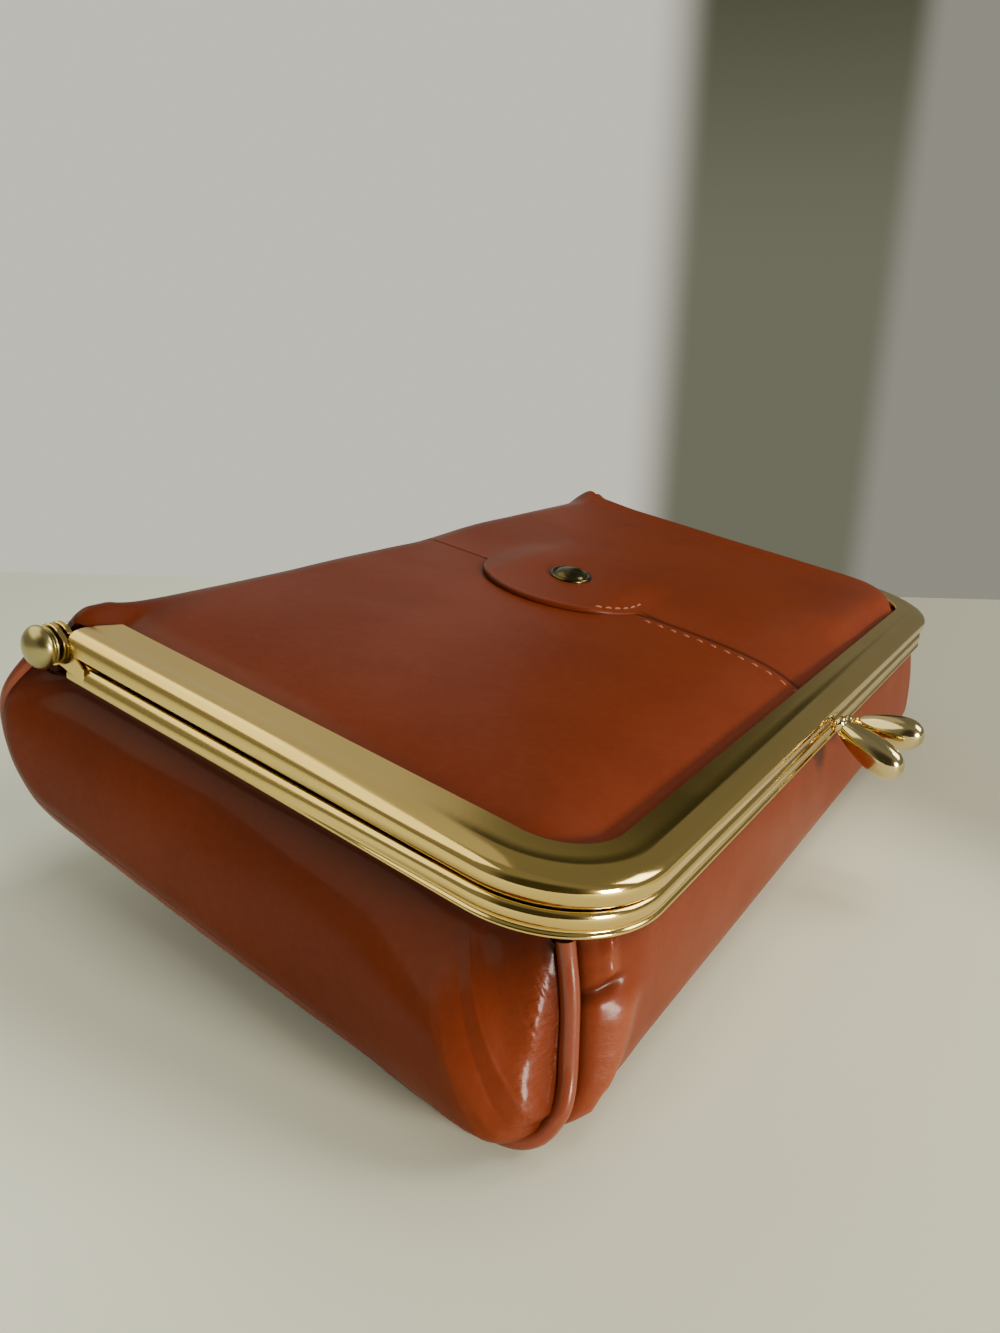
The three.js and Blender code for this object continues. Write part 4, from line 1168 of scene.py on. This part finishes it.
ROOM_PALE = (0.56, 0.535, 0.465)
ROOM_SIDE = Values(left=(0.25, 0.24, 0.20), right=(0.21, 0.205, 0.17))
ROOM_DARK = Values(low=(0.115, 0.115, 0.080), high=(0.040, 0.040, 0.022), over=(0.22, 0.21, 0.165))
ROOM_BEHIND = (0.055, 0.05, 0.032)
LEFT_YAW = np.radians((-30.0, 10.0))  # from +Y towards +X
DARK_YAW = np.radians((63.5, 67.0, 80.6, 82.4))  # where the dark wall comes and goes
DARK_SEEN = math.radians(4.6)  # its right edge is this much nearer as the camera sees it
DARK_RISE = (0.08, 0.42)
DARK_END = (0.53, 0.61)
BEHIND = Values(towards=(-0.80, -0.56, 0.20), over=(0.70, 0.90))
SEEN_BRIGHTER = 1.38  # the room as the camera sees it

# Name, place, target, size, power, colour, seen in mirrors, lights matt things
LAMPS = (
    ("key", (0.36, -0.62, 0.50), (0, 0, 0.02), (0.35, 0.35), 3.6, (1.0, 0.95, 0.86), True, True),
    ("top", (0.42, -0.12, 0.72), (0, -0.02, 0.02), (0.40, 0.35), 3.4, (1.0, 0.96, 0.88), False, True),
    ("ceiling", (-0.375, 0.49, 0.70), (-0.10, 0, 0.04), (1.15, 0.8), 5.2, (1.0, 0.94, 0.64), True, False),
    ("left", (-0.62, -0.16, 0.15), (-0.09, 0, 0.02), (0.9, 0.25), 2.2, (1.0, 0.97, 0.9), False, True),
    ("front", (-0.14, -0.72, 0.13), (-0.05, -0.04, 0.02), (0.17, 0.16), 8.2, (1.0, 0.90, 0.76), True, True))


def add_floor():
    """A pale table top that ends where the photograph's floor does."""
    yaw = math.radians(CAMERA_YAW)
    right = np.array([math.cos(yaw), -math.sin(yaw)])
    away = np.array([math.sin(yaw), math.cos(yaw)])
    camera = (CAMERA_PLACE[:2] + ORIGIN[:2]) * MM
    near, far = FLOOR_SPAN
    ways = ((-1, near), (1, near), (1, far), (-1, far))
    corners = [camera + side * FLOOR_HALF * right + depth * away for side, depth in ways]
    mesh = bpy.data.meshes.new("floor")
    mesh.from_pydata([(*corner, FLOOR_Z) for corner in corners], [], [(0, 1, 2, 3)])
    p = Paint("floor")
    colour = p.blend(p.noise(6.0), *FLOOR_PALE)
    # Painted light and painted shade on the floor.
    for direction, over, painted_colour in FLOOR_PAINTED_LIGHT_AND_SHADE:
        colour = p.blend(p.span(p.towards(direction), *over), colour, painted_colour)
    mesh.materials.append(p.surface(Base_Color=colour, Roughness=0.7, Specular_IOR_Level=0.2))
    floor = bpy.data.objects.new("floor", mesh)
    bpy.context.scene.collection.objects.link(floor)


def add_area(name, at, target, size, power, colour, mirrored, spreads):
    """A lamp that the camera doesn't see."""
    data = bpy.data.lights.new(name, "AREA")
    data.shape = "RECTANGLE"
    data.size, data.size_y = size
    data.energy = power
    data.color = colour
    lamp = bpy.data.objects.new(name, data)
    lamp.visible_camera = False
    lamp.visible_glossy = mirrored
    lamp.visible_diffuse = spreads
    back = unit(np.array(at, float) - np.array(target, float))
    right = unit(np.cross(np.array([0, 0, 1.0]), back))
    set_axes(lamp, right, np.cross(back, right), back, at)
    bpy.context.scene.collection.objects.link(lamp)


def add_world():
    """A pale room with a dark wall beyond the clutch's right end, which the metal mirrors."""
    world = bpy.data.worlds.new("room")
    bpy.context.scene.world = world
    world.use_nodes = True
    n = Nodes(world.node_tree, "Generated")
    axes = n.node("ShaderNodeSeparateXYZ", {0: n.where}).outputs
    yaw, rise = n.math("ARCTAN2", axes["X"], axes["Y"]), axes["Z"]
    seen = n.node("ShaderNodeLightPath").outputs["Is Camera Ray"]
    shifted = n.math("ADD", yaw, n.math("MULTIPLY", seen, DARK_SEEN))
    dark = n.blend(n.span(rise, *DARK_RISE), ROOM_DARK.low, ROOM_DARK.high)
    dark = n.blend(n.span(rise, *DARK_END), dark, ROOM_DARK.over)
    colour = n.blend(n.span(yaw, *LEFT_YAW), ROOM_SIDE.left, ROOM_PALE)
    colour = n.blend(n.span(yaw, *DARK_YAW[:2]), colour, dark)
    colour = n.blend(n.span(shifted, *DARK_YAW[2:]), colour, ROOM_SIDE.right)
    colour = n.blend(n.span(n.towards(BEHIND.towards), *BEHIND.over), colour, ROOM_BEHIND)
    strength = n.span(seen, 0.0, 1.0, 1.0, SEEN_BRIGHTER)
    n.fill(n.tree.nodes["Background"], {"Color": colour, "Strength": strength})


add_floor()
add_world()
for lamp in LAMPS:
    add_area(*lamp)
